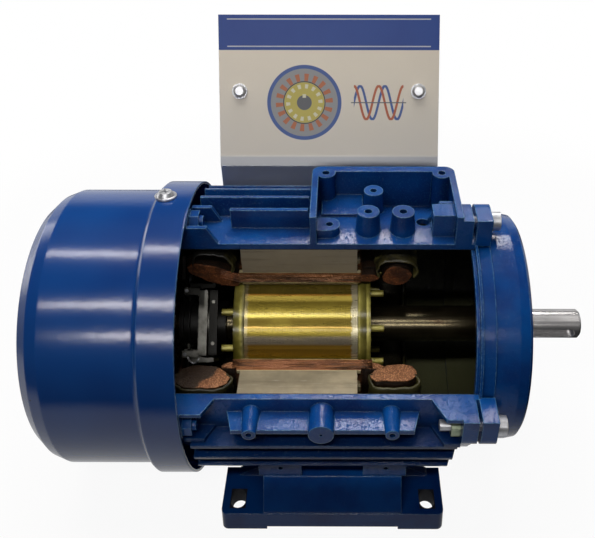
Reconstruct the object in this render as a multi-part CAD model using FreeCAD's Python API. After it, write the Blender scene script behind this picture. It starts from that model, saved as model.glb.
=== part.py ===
import FreeCAD, Part
import math
import os
from FreeCAD import Vector

os.makedirs("parts", exist_ok=True)

# A small foot-mounted induction motor of frame size 71, cut open as a demonstration model.
# Everything is modelled about the shaft axis, which runs along X with the shaft end at +X,
# and is lifted by shaft_height when it is written. X is zero at the drive-end foot slots.
# An angle about the shaft is 0 at the front (-Y), 90 at the top and 180 at the rear.

# --- standard sizes of the frame, mm ---
shaft_height = 71.0
foot_spacing_x = 90.0
foot_spacing_y = 112.0
slot_width = 7.0
slot_length = 10.0
shoulder_from_slots = 45.0
shaft_end_length = 30.0
shaft_end_radius = 7.0
key_width = 5.0
key_depth = 3.0
key_angle = -3.0
shaft_seam = 65.0
mid = -foot_spacing_x / 2

# --- cast frame ---
bore_radius = 55.0
barrel_radius = 58.0
barrel_rear = mid - 72.0
barrel_front = mid + 62.6
cut_plane = 10.5
fin_radius = 67.5
fin_thickness = 2.0
fin_rear = mid - 60.0
fin_front = mid + 51.0
fin_step_back = 2.2
lower_fin_extra = 5.0
lug_radius = 69.5
rear_lug_radius = 67.0
lug_half = 10.5
lug_round = 7.0
lug_rib = 2.0
lug_gap = 1.4
bolt_circle = 62.0
shelf_top = 3.7
shelf_thickness = 3.4
shelf_reach = 67.9
shelf_rear = mid - 45.0
shelf_front = mid + 38.2
shelf_taper = 3.2
boss_reach = 70.0
boss_height = 3.2
spare_hole = 1.25
bracket_hole = 1.65
boss_x = [mid - 34.0, mid + 25.6]
boss_mid_x = mid - 4.0
foot_pad_x = [14.3, 34.5]
foot_pad_y = [36.5, 53.2]
foot_pad_z = -47.5
foot_screw_x = [mid - 22.0, mid + 22.0]
foot_screw_y = 47.6
foot_dimple_x = [mid - 24.2, mid + 25.0]
foot_dimple_z = -42.2

# --- terminal box, cast with the frame ---
box_rear = mid - 9.4
box_front = mid + 56.6
box_half = 30.5
box_top = 71.5
box_wall = 2.9
box_rim = 4.4
box_corner = 4.5
post_x = [mid + 16.0, mid + 31.4]
post_y = -1.0
post_top = 68.0

# --- feet ---
foot_half = 52.4
foot_front = 66.0
foot_rear = 38.5
foot_thickness = 9.3
foot_draft = 1.7
foot_relief = 1.5
heel_inner = 31.0
web_half = 32.5
wing_half = 46.0
wing_top = foot_pad_z - 5.5
foot_rib_x = [mid - 9.0, mid + 9.0]
web_top_y = 53.7
wall = 4.5

# --- end shields and cowl ---
shield_radius = 54.2
shield_face = mid + 85.5
shield_edge = 2.5
shield_taper = 5.5
hub_nose = shield_face + 3.5
cowl_lip_radius = 69.5
cowl_radius = 65.3
cowl_open = mid - 62.6
cowl_step = mid - 78.0
cowl_crease = mid - 119.9
cowl_end = mid - 131.5
cowl_sheet = 1.1
cowl_screw_x = mid - 74.5
cowl_screw_angles = [97.0, 187.0, 255.0]
fan_lug = 5.6
fan_bolt_seat = barrel_rear - 3.2
board_screw_angles = [173.0, 277.0]

# --- stator and windings ---
stack_rear = mid - 40.2
stack_front = mid + 11.2
stator_bore = 35.0
slot_count = 24
slot_bottom = 42.4
slot_body = 5.0
liner = 0.35
layer_split = 39.6
winding_inner = 36.8

# --- rotor and shaft ---
rotor_radius = 34.6
rotor_seat = 9.0
ring_radius = 33.6
ring_rear = mid - 44.4
ring_front = mid + 17.4
bar_count = 20
stub_count = 10
stub_radius = 1.6
stub_circle = 26.5
stub_length = 6.2

# --- bearings, 15 x 35 x 11 ---
bearing_bore = 7.5
bearing_outer = 17.5
bearing_width = 11.0
bearing_pitch = 12.5
ball_radius = 2.8
ball_count = 7
ball_lines = 7
cage_half = 3.8
race_outer = 15.0
race_inner = 10.0
groove_edge = 2.3
drive_bearing_x = mid + 75.0
fan_bearing_x = mid - 87.0

# --- starting switch; its long side lies across the line at switch_angle ---
switch_angle = 44.0
switch_bore = 8.2
yoke_x = [mid - 64.4, mid - 60.1]
carrier_x = [mid - 59.2, mid - 55.2]
carrier_half = 15.5
carrier_reach = 10.6
sheet = 1.0
pivot_x = mid - 70.3
pivot_y = 15.0
pivot_radius = 0.9
pivot_reach = 16.6
weight_end = mid - 57.0
weight_inner = 16.6
weight_outer = 18.8
weight_half = 8.2
finger_tip = 10.2
collar_rear = mid - 73.5
collar_flange = 11.6
groove_x = [mid - 71.3, mid - 69.3]
board_x = mid - 76.5
board_sheet = 1.6
board_angle = 225.0
board_screw_circle = 28.5
arm_x = [mid - 74.2, mid - 73.6]
arm_root = 29.0

# --- sign ---
sign_width = 115.0
sign_mid = mid - 2.8
sign_length = 78.6
sign_lean = 29.0
sign_bend_z = 47.0
bracket_sheet = 1.5
label_sheet = 1.0

axis_x = Vector(1, 0, 0)
origin = Vector(0, 0, 0)


# ---------- helpers ----------
def save(node, shape):
    placed = shape.copy()
    placed.translate(Vector(0, 0, shaft_height))
    placed.exportStep("parts/" + node + ".step")
    print(node, len(placed.Solids), round(placed.Volume), placed.isValid())


def tube(x0, x1, outer, inner=0.0):
    solid = Part.makeCylinder(outer, x1 - x0, Vector(x0, 0, 0), axis_x)
    if inner > 0:
        solid = solid.cut(Part.makeCylinder(inner, x1 - x0 + 2, Vector(x0 - 1, 0, 0), axis_x))
    return solid


def turned(points):
    """A solid of revolution about the shaft from (x, radius) points."""
    outline = [Vector(x, 0, r) for x, r in points]
    face = Part.Face(Part.makePolygon(outline + outline[:1]))
    return face.revolve(origin, axis_x, 360)


def block(x0, x1, y0, y1, z0, z1):
    return Part.makeBox(x1 - x0, y1 - y0, z1 - z0, Vector(x0, y0, z0))


def prism_x(points, x0, x1):
    """(y, z) points extruded along the shaft."""
    outline = [Vector(x0, y, z) for y, z in points]
    return Part.Face(Part.makePolygon(outline + outline[:1])).extrude(Vector(x1 - x0, 0, 0))


def prism_y(points, y0, y1):
    """(x, z) points extruded along Y."""
    outline = [Vector(x, y0, z) for x, z in points]
    return Part.Face(Part.makePolygon(outline + outline[:1])).extrude(Vector(0, y1 - y0, 0))


def prism_z(points, z0, z1):
    """(x, y) points extruded upward."""
    outline = [Vector(x, y, z0) for x, y in points]
    return Part.Face(Part.makePolygon(outline + outline[:1])).extrude(Vector(0, 0, z1 - z0))


def rod_x(x0, x1, radius, y, z):
    return Part.makeCylinder(radius, x1 - x0, Vector(x0, y, z), axis_x)


def hexagon_x(x0, x1, flats, y, z):
    corner = flats / math.sqrt(3)
    points = []
    for i in range(6):
        a = math.radians(60 * i)
        points.append((y + corner * math.cos(a), z + corner * math.sin(a)))
    return prism_x(points, x0, x1)


def at_angle(shape, angle):
    """Turns a shape that was built at the top round to the given angle."""
    placed = shape.copy()
    placed.rotate(origin, axis_x, 90 - angle)
    return placed


def fuse_all(shapes):
    return shapes[0].multiFuse(shapes[1:]).removeSplitter()


def cut_all(shape, tools):
    for tool in tools:
        shape = shape.cut(tool)
    return shape


def window():
    """The quarter that is taken away so that the inside shows."""
    return block(mid - 150, mid + 150, -100, -cut_plane, cut_plane, 140)


def opened(shape):
    return shape.cut(window())


# ---------- frame ----------
def lug(x0, x1, radius, left, right, round_left, round_right):
    """A bolt lug at the top, flat outside, between left and right of its middle."""
    shape = block(x0, x1, left, right, bore_radius + 1, radius)
    edges = []
    for edge in shape.Edges:
        c = edge.CenterOfMass
        if abs(c.z - radius) < 0.01 and abs(c.x - (x0 + x1) / 2) < 0.01:
            if (round_left and abs(c.y - left) < 0.01) or (round_right and abs(c.y - right) < 0.01):
                edges.append(edge)
    return shape.makeFillet(lug_round - 0.5, edges) if edges else shape


def lug_ribs(x_root, x_tip, x_plate, radius, left, right):
    ribs = []
    profile = [(x_root, bore_radius + 1), (x_tip, radius - 1.5), (x_plate, radius - 1.5), (x_plate, bore_radius + 1)]
    for y in (left, right - lug_rib):
        ribs.append(prism_y(profile, y, y + lug_rib))
    return ribs


def frame_lugs():
    shapes = []
    front_end = barrel_front - lug_gap
    rear_end = barrel_rear + lug_gap
    for angle in (0, 90, 180, 270):
        # beside the window a lug is square on the cut side and rounded on the other
        low = -lug_half if angle != 0 else -lug_round
        high = lug_half if angle != 90 else lug_round
        keep_low = angle != 90
        keep_high = angle != 0
        front = [lug(front_end - 6.6, front_end, lug_radius, low, high, keep_low, keep_high)]
        ribs = lug_ribs(mid + 42.0, mid + 48.0, front_end - 6.5, lug_radius, low, high)
        # the rib on the cut side of the top lug would stand in front of the terminal box
        front += ribs if angle != 90 else ribs[1:]
        rear = [lug(rear_end, rear_end + 8, rear_lug_radius, low, high, keep_low, keep_high)]
        rear += lug_ribs(mid - 49.0, mid - 54.0, rear_end + 7.9, rear_lug_radius, low, high)
        for shape in front + rear:
            shapes.append(at_angle(shape, angle))
    return shapes


def fin(angle, x0, x1):
    plate = block(x0, x1, -fin_thickness / 2, fin_thickness / 2, barrel_radius - 1.5, fin_radius)
    slope = fin_radius - barrel_radius
    chamfer = prism_y([(x1 + 1, fin_radius + 1), (x1 - fin_step_back, fin_radius + 1),
                       (x1 - fin_step_back, fin_radius), (x1 + 1, fin_radius - slope)], -3, 3)
    return at_angle(plate.cut(chamfer), angle)


def frame_fins():
    shapes = []
    for i, angle in enumerate((-7.5, -16.5, -26.5)):
        shapes.append(fin(angle, fin_rear, fin_front + lower_fin_extra - i))
        shapes.append(fin(180 - angle, fin_rear, fin_front + lower_fin_extra - i))
    shapes.append(fin(91, mid - 45.0, box_rear + 1))
    for angle in (101, 111):
        shapes.append(fin(angle, fin_rear, box_rear + 1))
    for angle in (121, 131, 141, 151, 161):
        shapes.append(fin(angle, fin_rear, fin_front))
    for angle in (248, 259, 270, 281, 292):
        shapes.append(fin(angle, mid - 47.0, mid + 40.0))
    return shapes


def side_pad(side):
    """The spare fixing pad: a shelf with two tapped bosses and a larger plain one."""
    bottom = shelf_top - shelf_thickness
    shelf = prism_x([(56, bottom - 3), (56, shelf_top), (shelf_reach, shelf_top),
                     (shelf_reach, bottom + 1), (61, bottom)], shelf_rear, shelf_front)
    plan = prism_z([(shelf_rear, 56), (shelf_front, 56), (shelf_front - shelf_taper, shelf_reach),
                    (shelf_rear + shelf_taper, shelf_reach)], bottom - 4, shelf_top + 1)
    shapes = [shelf.common(plan)]
    for x in boss_x:
        shapes.append(Part.makeCone(4.2, 2.9, boss_reach - 56, Vector(x, 56, boss_height), Vector(0, 1, 0)))
    shapes.append(Part.makeCylinder(5.4, boss_reach - 56, Vector(boss_mid_x, 56, boss_height), Vector(0, 1, 0)))
    holes = []
    for x in boss_x:
        radius = spare_hole if side < 0 else bracket_hole
        holes.append(Part.makeCylinder(radius, 9, Vector(x, boss_reach - 8, boss_height), Vector(0, 1, 0)))
    holes.append(Part.makeCylinder(0.6, 2, Vector(boss_mid_x, boss_reach - 1, boss_height), Vector(0, 1, 0)))
    if side < 0:
        shapes = [shape.mirror(origin, Vector(0, 1, 0)) for shape in shapes]
        holes = [hole.mirror(origin, Vector(0, 1, 0)) for hole in holes]
    return shapes, holes


def foot_pads():
    shapes = []
    holes = []
    for side in (-1, 1):
        for end in (-1, 1):
            x0, x1 = sorted((mid + end * foot_pad_x[0], mid + end * foot_pad_x[1]))
            y0, y1 = sorted((side * foot_pad_y[0], side * foot_pad_y[1]))
            shapes.append(block(x0, x1, y0, y1, foot_pad_z, -34))
    for side in (-1, 1):
        for x in foot_screw_x:
            holes.append(Part.makeCylinder(2.5, 11, Vector(x, side * foot_screw_y, foot_pad_z - 1), Vector(0, 0, 1)))
        for x in foot_dimple_x:
            front = Vector(x, side * (foot_pad_y[1] + 0.1), foot_dimple_z)
            holes.append(Part.makeCylinder(1.0, 1.6, front, Vector(0, -side, 0)))
    return shapes, holes


def terminal_box():
    outer = block(box_rear, box_front, -box_half, box_half, 40, box_top)
    upright = [e for e in outer.Edges if abs(e.Vertexes[0].Z - e.Vertexes[1].Z) > 20]
    outer = outer.makeFillet(box_corner, upright)
    inner = block(box_rear + box_wall, box_front - box_wall, -box_half + box_rim, box_half - box_rim, 30, box_top + 1)
    upright = [e for e in inner.Edges if abs(e.Vertexes[0].Z - e.Vertexes[1].Z) > 20]
    inner = inner.makeFillet(3.0, upright)
    shell = outer.cut(inner)
    extras = []
    holes = []
    for x in (box_rear + 6.3, box_front - 6.0):
        for side in (-1, 1):
            y = side * 25.0
            extras.append(Part.makeCylinder(4.4, 25, Vector(x, y, box_top - 25), Vector(0, 0, 1)))
            holes.append(Part.makeCylinder(1.65, 9, Vector(x, y, box_top - 8), Vector(0, 0, 1)))
    for x in post_x:
        extras.append(Part.makeCone(6.0, 4.9, post_top - 54, Vector(x, post_y, 54), Vector(0, 0, 1)))
        holes.append(Part.makeCylinder(1.65, 9, Vector(x, post_y, post_top - 8), Vector(0, 0, 1)))
    extras.append(Part.makeCone(5.2, 4.4, 16, Vector(mid + 18.8, 17, 51), Vector(0, 0, 1)))
    holes.append(Part.makeCylinder(1.5, 7, Vector(mid + 18.8, 17, 61), Vector(0, 0, 1)))
    extras.append(Part.makeCylinder(4.7, 8, Vector(mid - 1.1, -2.3, 54), Vector(0, 0, 1)))
    extras.append(block(box_rear + 1, mid - 1.1, -7, 2.4, 54, 62))
    holes.append(Part.makeCylinder(1.5, 6, Vector(mid - 1.1, -2.3, 57), Vector(0, 0, 1)))
    extras.append(block(mid + 44.2, box_front - 1, -5.7, 3.2, 54, 69))
    extras.append(block(mid - 5.0, mid + 14.0, 10, 27, 50, 58.6))
    shell = fuse_all([shell] + extras)
    holes.append(Part.makeCylinder(3.0, 20, Vector(mid + 41.0, 5.0, 48), Vector(0, 0, 1)))
    holes.append(rod_x(mid + 43, barrel_front, 2.5, 0, bolt_circle))
    return shell, holes


def frame():
    shell, holes = terminal_box()
    shapes = [tube(barrel_rear, barrel_front, barrel_radius), shell]
    shapes += frame_lugs() + frame_fins()
    for side in (-1, 1):
        pad, pad_holes = side_pad(side)
        shapes += pad
        holes += pad_holes
    pads, pad_holes = foot_pads()
    shapes += pads
    holes += pad_holes
    for angle in (0, 90, 180, 270):
        if angle != 90:
            holes.append(at_angle(rod_x(barrel_front - 12, barrel_front + 1, 2.75, 0, bolt_circle), angle))
        holes.append(at_angle(rod_x(barrel_rear - 1, barrel_rear + 12, 2.75, 0, bolt_circle), angle))
    body = fuse_all(shapes)
    body = cut_all(body, [tube(barrel_rear - 1, barrel_front + 1, bore_radius)] + holes)
    return opened(body)


# ---------- feet ----------
def foot(side):
    base = -shaft_height
    top = base + foot_thickness
    plate = prism_x([(foot_rear, base), (foot_front, base), (foot_front - foot_draft, top), (foot_rear, top)],
                    mid - foot_half, mid + foot_half)
    corners = [e for e in plate.Edges if abs(e.Vertexes[0].X - e.Vertexes[1].X) < 0.01
               and e.CenterOfMass.y > foot_front - 2 and abs(e.Vertexes[0].Z - e.Vertexes[1].Z) > 5]
    plate = plate.makeFillet(3.0, corners)
    upper = prism_x([(foot_rear, top - 1), (foot_front - foot_draft - 0.6, top - 1),
                     (foot_front - foot_draft - 0.6, top + 0.6), (web_top_y, foot_pad_z), (foot_rear, foot_pad_z)],
                    mid - web_half, mid + web_half)
    wing = prism_y([(mid - wing_half, top - 1), (mid - wing_half, top + 0.3), (mid - web_half, wing_top),
                    (mid + web_half, wing_top), (mid + wing_half, top + 0.3), (mid + wing_half, top - 1)],
                   foot_rear, foot_rear + wall)
    body = fuse_all([plate, upper, wing])
    hollow = prism_x([(foot_rear + wall, base - 1), (foot_front - wall - 1.2, base - 1), (foot_front - wall - 2, top - 1.0),
                      (web_top_y - 1.2, foot_pad_z - 7), (foot_rear + wall, foot_pad_z - 7)],
                     mid - web_half + wall, mid + web_half - wall)
    body = body.cut(hollow)
    relief = block(mid - heel_inner, mid + heel_inner, foot_rear - 1, foot_front + 1, base - 1, base + foot_relief)
    body = body.cut(relief)
    ribs = []
    for x in foot_rib_x:
        ribs.append(prism_x([(foot_rear + wall - 1, base + foot_relief + 1), (foot_front - wall - 1, base + foot_relief + 1),
                             (web_top_y - 2, foot_pad_z - 6.5), (foot_rear + wall - 1, foot_pad_z - 6.5)],
                            x - 1.25, x + 1.25))
    body = body.multiFuse(ribs).removeSplitter()
    for x in (mid - foot_spacing_x / 2, mid + foot_spacing_x / 2):
        half = (slot_length - slot_width) / 2
        y = foot_spacing_y / 2
        for yy in (y - half, y + half):
            body = body.cut(Part.makeCylinder(slot_width / 2, 30, Vector(x, yy, base - 5), Vector(0, 0, 1)))
        body = body.cut(block(x - slot_width / 2, x + slot_width / 2, y - half, y + half, base - 5, base + 25))
    for x in foot_screw_x:
        body = body.cut(Part.makeCylinder(3.3, 20, Vector(x, foot_screw_y, foot_pad_z - 10), Vector(0, 0, 1)))
    return body if side > 0 else body.mirror(origin, Vector(0, 1, 0))


def foot_screws():
    shapes = []
    for side in (-1, 1):
        for x in foot_screw_x:
            y = side * foot_screw_y
            head = foot_pad_z - 7
            shank = Part.makeCylinder(2.45, 13.5, Vector(x, y, head), Vector(0, 0, 1))
            cap = Part.makeCylinder(4.2, 4.0, Vector(x, y, head - 4), Vector(0, 0, 1))
            socket = Part.makeCylinder(2.0, 2.5, Vector(x, y, head - 4), Vector(0, 0, 1))
            shapes.append(shank.fuse(cap).cut(socket))
    return Part.makeCompound(shapes)


# ---------- end shields, bolts and nuts ----------
def shield_lugs(x0, x1, radius, half, angles):
    shapes = []
    for angle in angles:
        shapes.append(at_angle(block(x0, x1, -half, half, 50, radius + 3), angle))
    return [shape.common(tube(x0 - 1, x1 + 1, radius)) for shape in shapes]


def drive_end_shield():
    start = barrel_front
    hub_rear = drive_bearing_x - 0.8
    bearing_front = drive_bearing_x + bearing_width
    points = [(start - lug_gap, 52.0), (start - lug_gap, bore_radius - 0.05), (start, bore_radius - 0.05),
              (start, 57.4), (start + 1.2, 57.4), (start + 1.2, 55.8), (start + 6.8, 55.8),
              (start + 6.8, shield_radius), (shield_face - shield_taper, shield_radius),
              (shield_face - shield_edge / 2, shield_radius - shield_edge / 3), (shield_face, shield_radius - shield_edge),
              (shield_face, 46.0), (shield_face - 1.0, 45.0), (shield_face - 1.0, 27.0), (shield_face, 24.0),
              (shield_face + 2.5, 22.0), (hub_nose, 20.6), (hub_nose, 13.0),
              (bearing_front, 13.0), (bearing_front, bearing_outer), (hub_rear, bearing_outer), (hub_rear, 21.0),
              (shield_face - 4.5, 23.0), (shield_face - 4.5, 45.0), (shield_face - 8.0, 50.0), (start + 4.0, 52.0)]
    body = turned(points)
    lugs = []
    for angle in (0, 90, 180, 270):
        low = -lug_half if angle != 0 else -lug_round
        high = lug_half if angle != 90 else lug_round
        lugs.append(at_angle(lug(start, start + 6.8, lug_radius, low, high, angle != 90, angle != 0), angle))
    ribs = []
    for i in range(6):
        rib = block(shield_face - 9.0, shield_face - 4.0, -1.25, 1.25, 21.5, 49.0)
        ribs.append(at_angle(rib, 30 + 60 * i))
    body = fuse_all([body] + lugs + ribs)
    holes = [at_angle(rod_x(start - 5, start + 12, 2.75, 0, bolt_circle), a) for a in (0, 90, 180, 270)]
    body = cut_all(body, holes)
    return body


def fan_end_shield():
    start = barrel_rear
    web = board_x
    hub_end = fan_bearing_x - 2.5
    points = [(start + lug_gap, 52.0), (start + lug_gap, bore_radius - 0.05), (start, bore_radius - 0.05),
              (start, 57.4), (start - 4.0, 57.4), (start - 6.5, 55.0), (web - 3.5, 54.0), (web - 3.5, 24.0),
              (hub_end, 21.0), (hub_end, 10.0), (fan_bearing_x - 1.0, 10.0), (fan_bearing_x - 1.0, bearing_outer),
              (web + 0.5, bearing_outer), (web + 0.5, 21.0), (web, 21.5), (web, 50.0), (start - 1.5, 52.0)]
    body = turned(points)
    rim = cowl_lip_radius - cowl_sheet - 0.1
    lugs = shield_lugs(start - fan_lug, start, rim, 11.5, (0, 90, 180, 270))
    lugs += shield_lugs(start - fan_lug, start, rim, 4.5, cowl_screw_angles)
    ribs = []
    for i in range(8):
        rib = block(web - 5.5, web - 3.0, -1.25, 1.25, 20.0, 54.0)
        ribs.append(at_angle(rib, 22.5 + 45 * i))
    body = fuse_all([body] + lugs + ribs)
    holes = [at_angle(rod_x(start - 12, start + 5, 2.75, 0, bolt_circle), a) for a in (0, 90, 180, 270)]
    holes += [at_angle(rod_x(start - 12, fan_bolt_seat, 4.6, 0, bolt_circle), a) for a in (0, 90, 180, 270)]
    holes += [at_angle(cowl_screw_hole(), a) for a in cowl_screw_angles]
    holes += [at_angle(rod_x(web - 4, web + 1, 1.25, 0, board_screw_circle), a) for a in board_screw_angles]
    return cut_all(body, holes)


def shield_bolts(seat, direction, length, head_height):
    """Socket-head screws, one through each lug; direction is the way the head stands out."""
    shapes = []
    for angle in (0, 90, 180, 270):
        x0, x1 = sorted((seat, seat - direction * length))
        shank = rod_x(x0, x1, 2.45, 0, bolt_circle)
        x0, x1 = sorted((seat, seat + direction * head_height))
        head = rod_x(x0, x1, 4.25, 0, bolt_circle)
        x0, x1 = sorted((seat + direction * head_height / 2, seat + direction * head_height))
        socket = hexagon_x(x0, x1, 4.0, 0, bolt_circle)
        shapes.append(at_angle(shank.fuse(head).cut(socket), angle))
    return Part.makeCompound(shapes)


def shield_nuts(x0, angles):
    shapes = []
    for angle in angles:
        nut = hexagon_x(x0, x0 + 4.0, 8.0, 0, bolt_circle).cut(rod_x(x0 - 1, x0 + 5, 2.5, 0, bolt_circle))
        shapes.append(at_angle(nut, angle))
    return Part.makeCompound(shapes)


# ---------- fan cowl ----------
def cowl_screw_hole():
    return Part.makeCylinder(1.95, 12, Vector(cowl_screw_x, 0, 59.5), Vector(0, 0, 1))


def fan_cowl():
    s = cowl_sheet
    outer = [(cowl_open, cowl_lip_radius), (cowl_step, cowl_lip_radius), (cowl_step - 1.2, cowl_lip_radius - 1.0),
             (cowl_step - 2.0, cowl_radius + 0.4), (cowl_step - 3.0, cowl_radius), (cowl_crease, cowl_radius),
             (cowl_crease - 5.5, cowl_radius - 2.2), (cowl_end + 1.2, 58.6), (cowl_end, 55.5), (cowl_end, 0)]
    inner = [(cowl_end + s, 0), (cowl_end + s, 55.0), (cowl_end + 2.1, 57.6), (cowl_crease - 5.0, cowl_radius - 3.3),
             (cowl_crease, cowl_radius - s), (cowl_step - 1.6, cowl_radius - s), (cowl_step - 0.2, cowl_lip_radius - s),
             (cowl_open, cowl_lip_radius - s)]
    shell = turned(outer + inner)
    slots = []
    for r0, r1, count in ((14, 22, 4), (27, 36, 8), (41, 51, 8)):
        ring = tube(cowl_end - 1, cowl_end + 3, r1, r0)
        spokes = []
        for i in range(count // 2):
            spoke = block(cowl_end - 2, cowl_end + 4, -2.0, 2.0, -60, 60)
            spokes.append(at_angle(spoke, 360.0 / count * i))
        slots.append(cut_all(ring, spokes))
    shell = cut_all(shell, slots)
    return cut_all(shell, [at_angle(cowl_screw_hole(), a) for a in cowl_screw_angles])


def cowl_screws():
    shapes = []
    for angle in cowl_screw_angles:
        base = cowl_lip_radius
        shank = Part.makeCylinder(1.9, base - 60, Vector(cowl_screw_x, 0, 60), Vector(0, 0, 1))
        flange = Part.makeCylinder(4.9, 0.9, Vector(cowl_screw_x, 0, base), Vector(0, 0, 1))
        head = Part.makeCone(3.9, 2.9, 1.9, Vector(cowl_screw_x, 0, base + 0.9), Vector(0, 0, 1))
        screw = shank.multiFuse([flange, head])
        for turn in (0, 90):
            bar = block(cowl_screw_x - 2.2, cowl_screw_x + 2.2, -0.45, 0.45, base + 1.3, base + 4)
            bar.rotate(Vector(cowl_screw_x, 0, 0), Vector(0, 0, 1), turn + 20)
            screw = screw.cut(bar)
        shapes.append(at_angle(screw, angle))
    return Part.makeCompound(shapes)


# ---------- stator ----------
def slot_shape(grow, x0, x1, floor, lip):
    """One stator slot at the top: a body that widens outward and a narrow mouth."""
    half = slot_body / 2 + grow
    points = [(-half + 0.5, lip), (half - 0.5, lip), (half, floor - 0.8), (half - 0.8, floor),
              (-half + 0.8, floor), (-half, floor - 0.8)]
    return prism_x(points, x0, x1)


def stator_core():
    core = tube(stack_rear, stack_front, bore_radius, stator_bore)
    slots = []
    for i in range(slot_count):
        angle = 360.0 / slot_count * i
        slots.append(at_angle(slot_shape(0, stack_rear - 1, stack_front + 1, slot_bottom, 36.3), angle))
        mouth = block(stack_rear - 1, stack_front + 1, -1.1, 1.1, stator_bore - 1, 36.5)
        slots.append(at_angle(mouth, angle))
    core = core.cut(slots[0].multiFuse(slots[1:]))
    pieces = opened(core).Solids
    return max(pieces, key=lambda piece: piece.Volume)


def slot_liners():
    shapes = []
    for i in range(slot_count):
        outer = slot_shape(0, stack_rear - 1.5, stack_front + 1.5, slot_bottom, 36.3)
        inner = slot_shape(-liner, stack_rear - 2, stack_front + 2, slot_bottom - liner, 36.2)
        shapes.append(at_angle(outer.cut(inner), 360.0 / slot_count * i))
    return opened(Part.makeCompound(shapes))


def slot_wedges():
    shapes = []
    for i in range(slot_count):
        wedge = block(stack_rear - 0.5, stack_front + 0.5, -1.05, 1.05, stator_bore + 0.1, 36.45)
        shapes.append(at_angle(wedge, 360.0 / slot_count * i))
    return opened(Part.makeCompound(shapes))


def coil_bars(x0, x1, inner, outer, half):
    shapes = []
    for i in range(slot_count):
        points = [(-half + 0.35, inner), (half - 0.35, inner), (half, outer - 1.0), (half - 1.0, outer),
                  (-half + 1.0, outer), (-half, outer - 1.0)]
        shapes.append(at_angle(prism_x(points, x0, x1), 360.0 / slot_count * i))
    return shapes


def main_winding():
    outer = slot_bottom - liner
    drive = turned([(mid + 19.0, layer_split + 0.2), (mid + 24.0, 37.4), (mid + 34.5, 37.4), (mid + 37.6, 40.5),
                    (mid + 37.6, 44.4), (mid + 34.5, 47.4), (mid + 24.0, 47.4), (mid + 17.5, outer)])
    fan = turned([(mid - 45.5, layer_split + 0.2), (mid - 52.0, 38.8), (mid - 63.0, 38.8), (mid - 66.4, 42.0),
                  (mid - 66.4, 45.4), (mid - 63.0, 48.6), (mid - 52.0, 48.6), (mid - 44.0, outer)])
    bars = coil_bars(mid - 46.5, mid + 20.5, layer_split + 0.2, outer, slot_body / 2 - liner - 0.05)
    return opened(fuse_all([drive, fan] + bars))


def auxiliary_winding():
    drive = turned([(mid + 13.0, winding_inner), (mid + 20.5, winding_inner), (mid + 21.3, 38.0),
                    (mid + 20.5, layer_split - 0.8), (mid + 13.0, layer_split)])
    fan = turned([(mid - 42.0, winding_inner), (mid - 46.5, winding_inner), (mid - 47.4, 38.0),
                  (mid - 46.5, layer_split - 0.4), (mid - 42.0, layer_split)])
    bars = coil_bars(mid - 43.0, mid + 14.0, winding_inner, layer_split, slot_body / 2 - liner - 0.35)
    return opened(fuse_all([drive, fan] + bars))


def end_insulation(x_open, x_closed, inner, outer):
    """A collar of insulating sheet round the outside and the far face of an end winding."""
    step = 1.2 if x_closed > x_open else -1.2
    points = [(x_open, outer), (x_closed - 2 * step, outer), (x_closed, outer - 3.0), (x_closed, 42.0),
              (x_closed - step, 42.0), (x_closed - step, inner - 2.4), (x_closed - 2.5 * step, inner), (x_open, inner)]
    return opened(turned(points))


# ---------- shaft and rotor ----------
def shaft():
    shoulder = shoulder_from_slots
    end = shoulder + shaft_end_length
    fan_seat = mid - 116.0
    points = [(fan_seat, 0), (fan_seat, 5.4), (fan_seat + 0.6, 6.0), (mid - 89.5, 6.0), (mid - 89.5, bearing_bore),
              (fan_bearing_x + bearing_width, bearing_bore), (fan_bearing_x + bearing_width, 8.2), (mid - 46.0, 8.2),
              (mid - 46.0, rotor_seat), (ring_front, rotor_seat), (ring_front, 8.6), (drive_bearing_x, 8.6),
              (drive_bearing_x, bearing_bore), (shoulder, bearing_bore), (shoulder, shaft_end_radius),
              (end - 1.0, shaft_end_radius), (end, shaft_end_radius - 1.0), (end, 0)]
    body = at_angle(turned(points), shaft_seam)
    half = key_width / 2
    x0 = shoulder + 2.0 + half
    x1 = end - 3.0 - half
    floor = shaft_end_radius - key_depth
    key_seat = block(x0, x1, -half, half, floor, 10)
    for x in (x0, x1):
        key_seat = key_seat.fuse(Part.makeCylinder(half, 10 - floor, Vector(x, 0, floor), Vector(0, 0, 1)))
    body = body.cut(at_angle(key_seat, key_angle))
    groove = tube(mid - 115.0 + 1.2, mid - 115.0 + 2.2, 7, 5.5)
    return body.cut(groove)


def rotor_bar(x0, x1, grow):
    return prism_x([(-1.5 - grow, 25.0), (1.5 + grow, 25.0), (2.4 + grow, 33.0 + grow), (-2.4 - grow, 33.0 + grow)],
                   x0, x1)


def rotor_core():
    core = tube(stack_rear + 1.0, stack_front + 0.3, rotor_radius, rotor_seat)
    bars = [at_angle(rotor_bar(stack_rear, stack_front + 2, 0), 360.0 / bar_count * i) for i in range(bar_count)]
    return core.cut(bars[0].multiFuse(bars[1:]))


def rotor_cage():
    rear = tube(ring_rear, stack_rear + 1.0, ring_radius, 20.0)
    front = tube(stack_front + 0.3, ring_front, ring_radius, 20.0)
    shapes = [rear, front]
    for i in range(bar_count):
        shapes.append(at_angle(rotor_bar(stack_rear, stack_front + 1, 0), 360.0 / bar_count * i))
    for i in range(stub_count):
        turn = 360.0 / stub_count * i
        shapes.append(at_angle(rod_x(ring_front - 1, ring_front + stub_length, stub_radius, 0, stub_circle), turn + 2.5))
        shapes.append(at_angle(rod_x(ring_rear - stub_length, ring_rear + 1, stub_radius, 0, stub_circle), turn + 18))
    return fuse_all(shapes)


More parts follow.
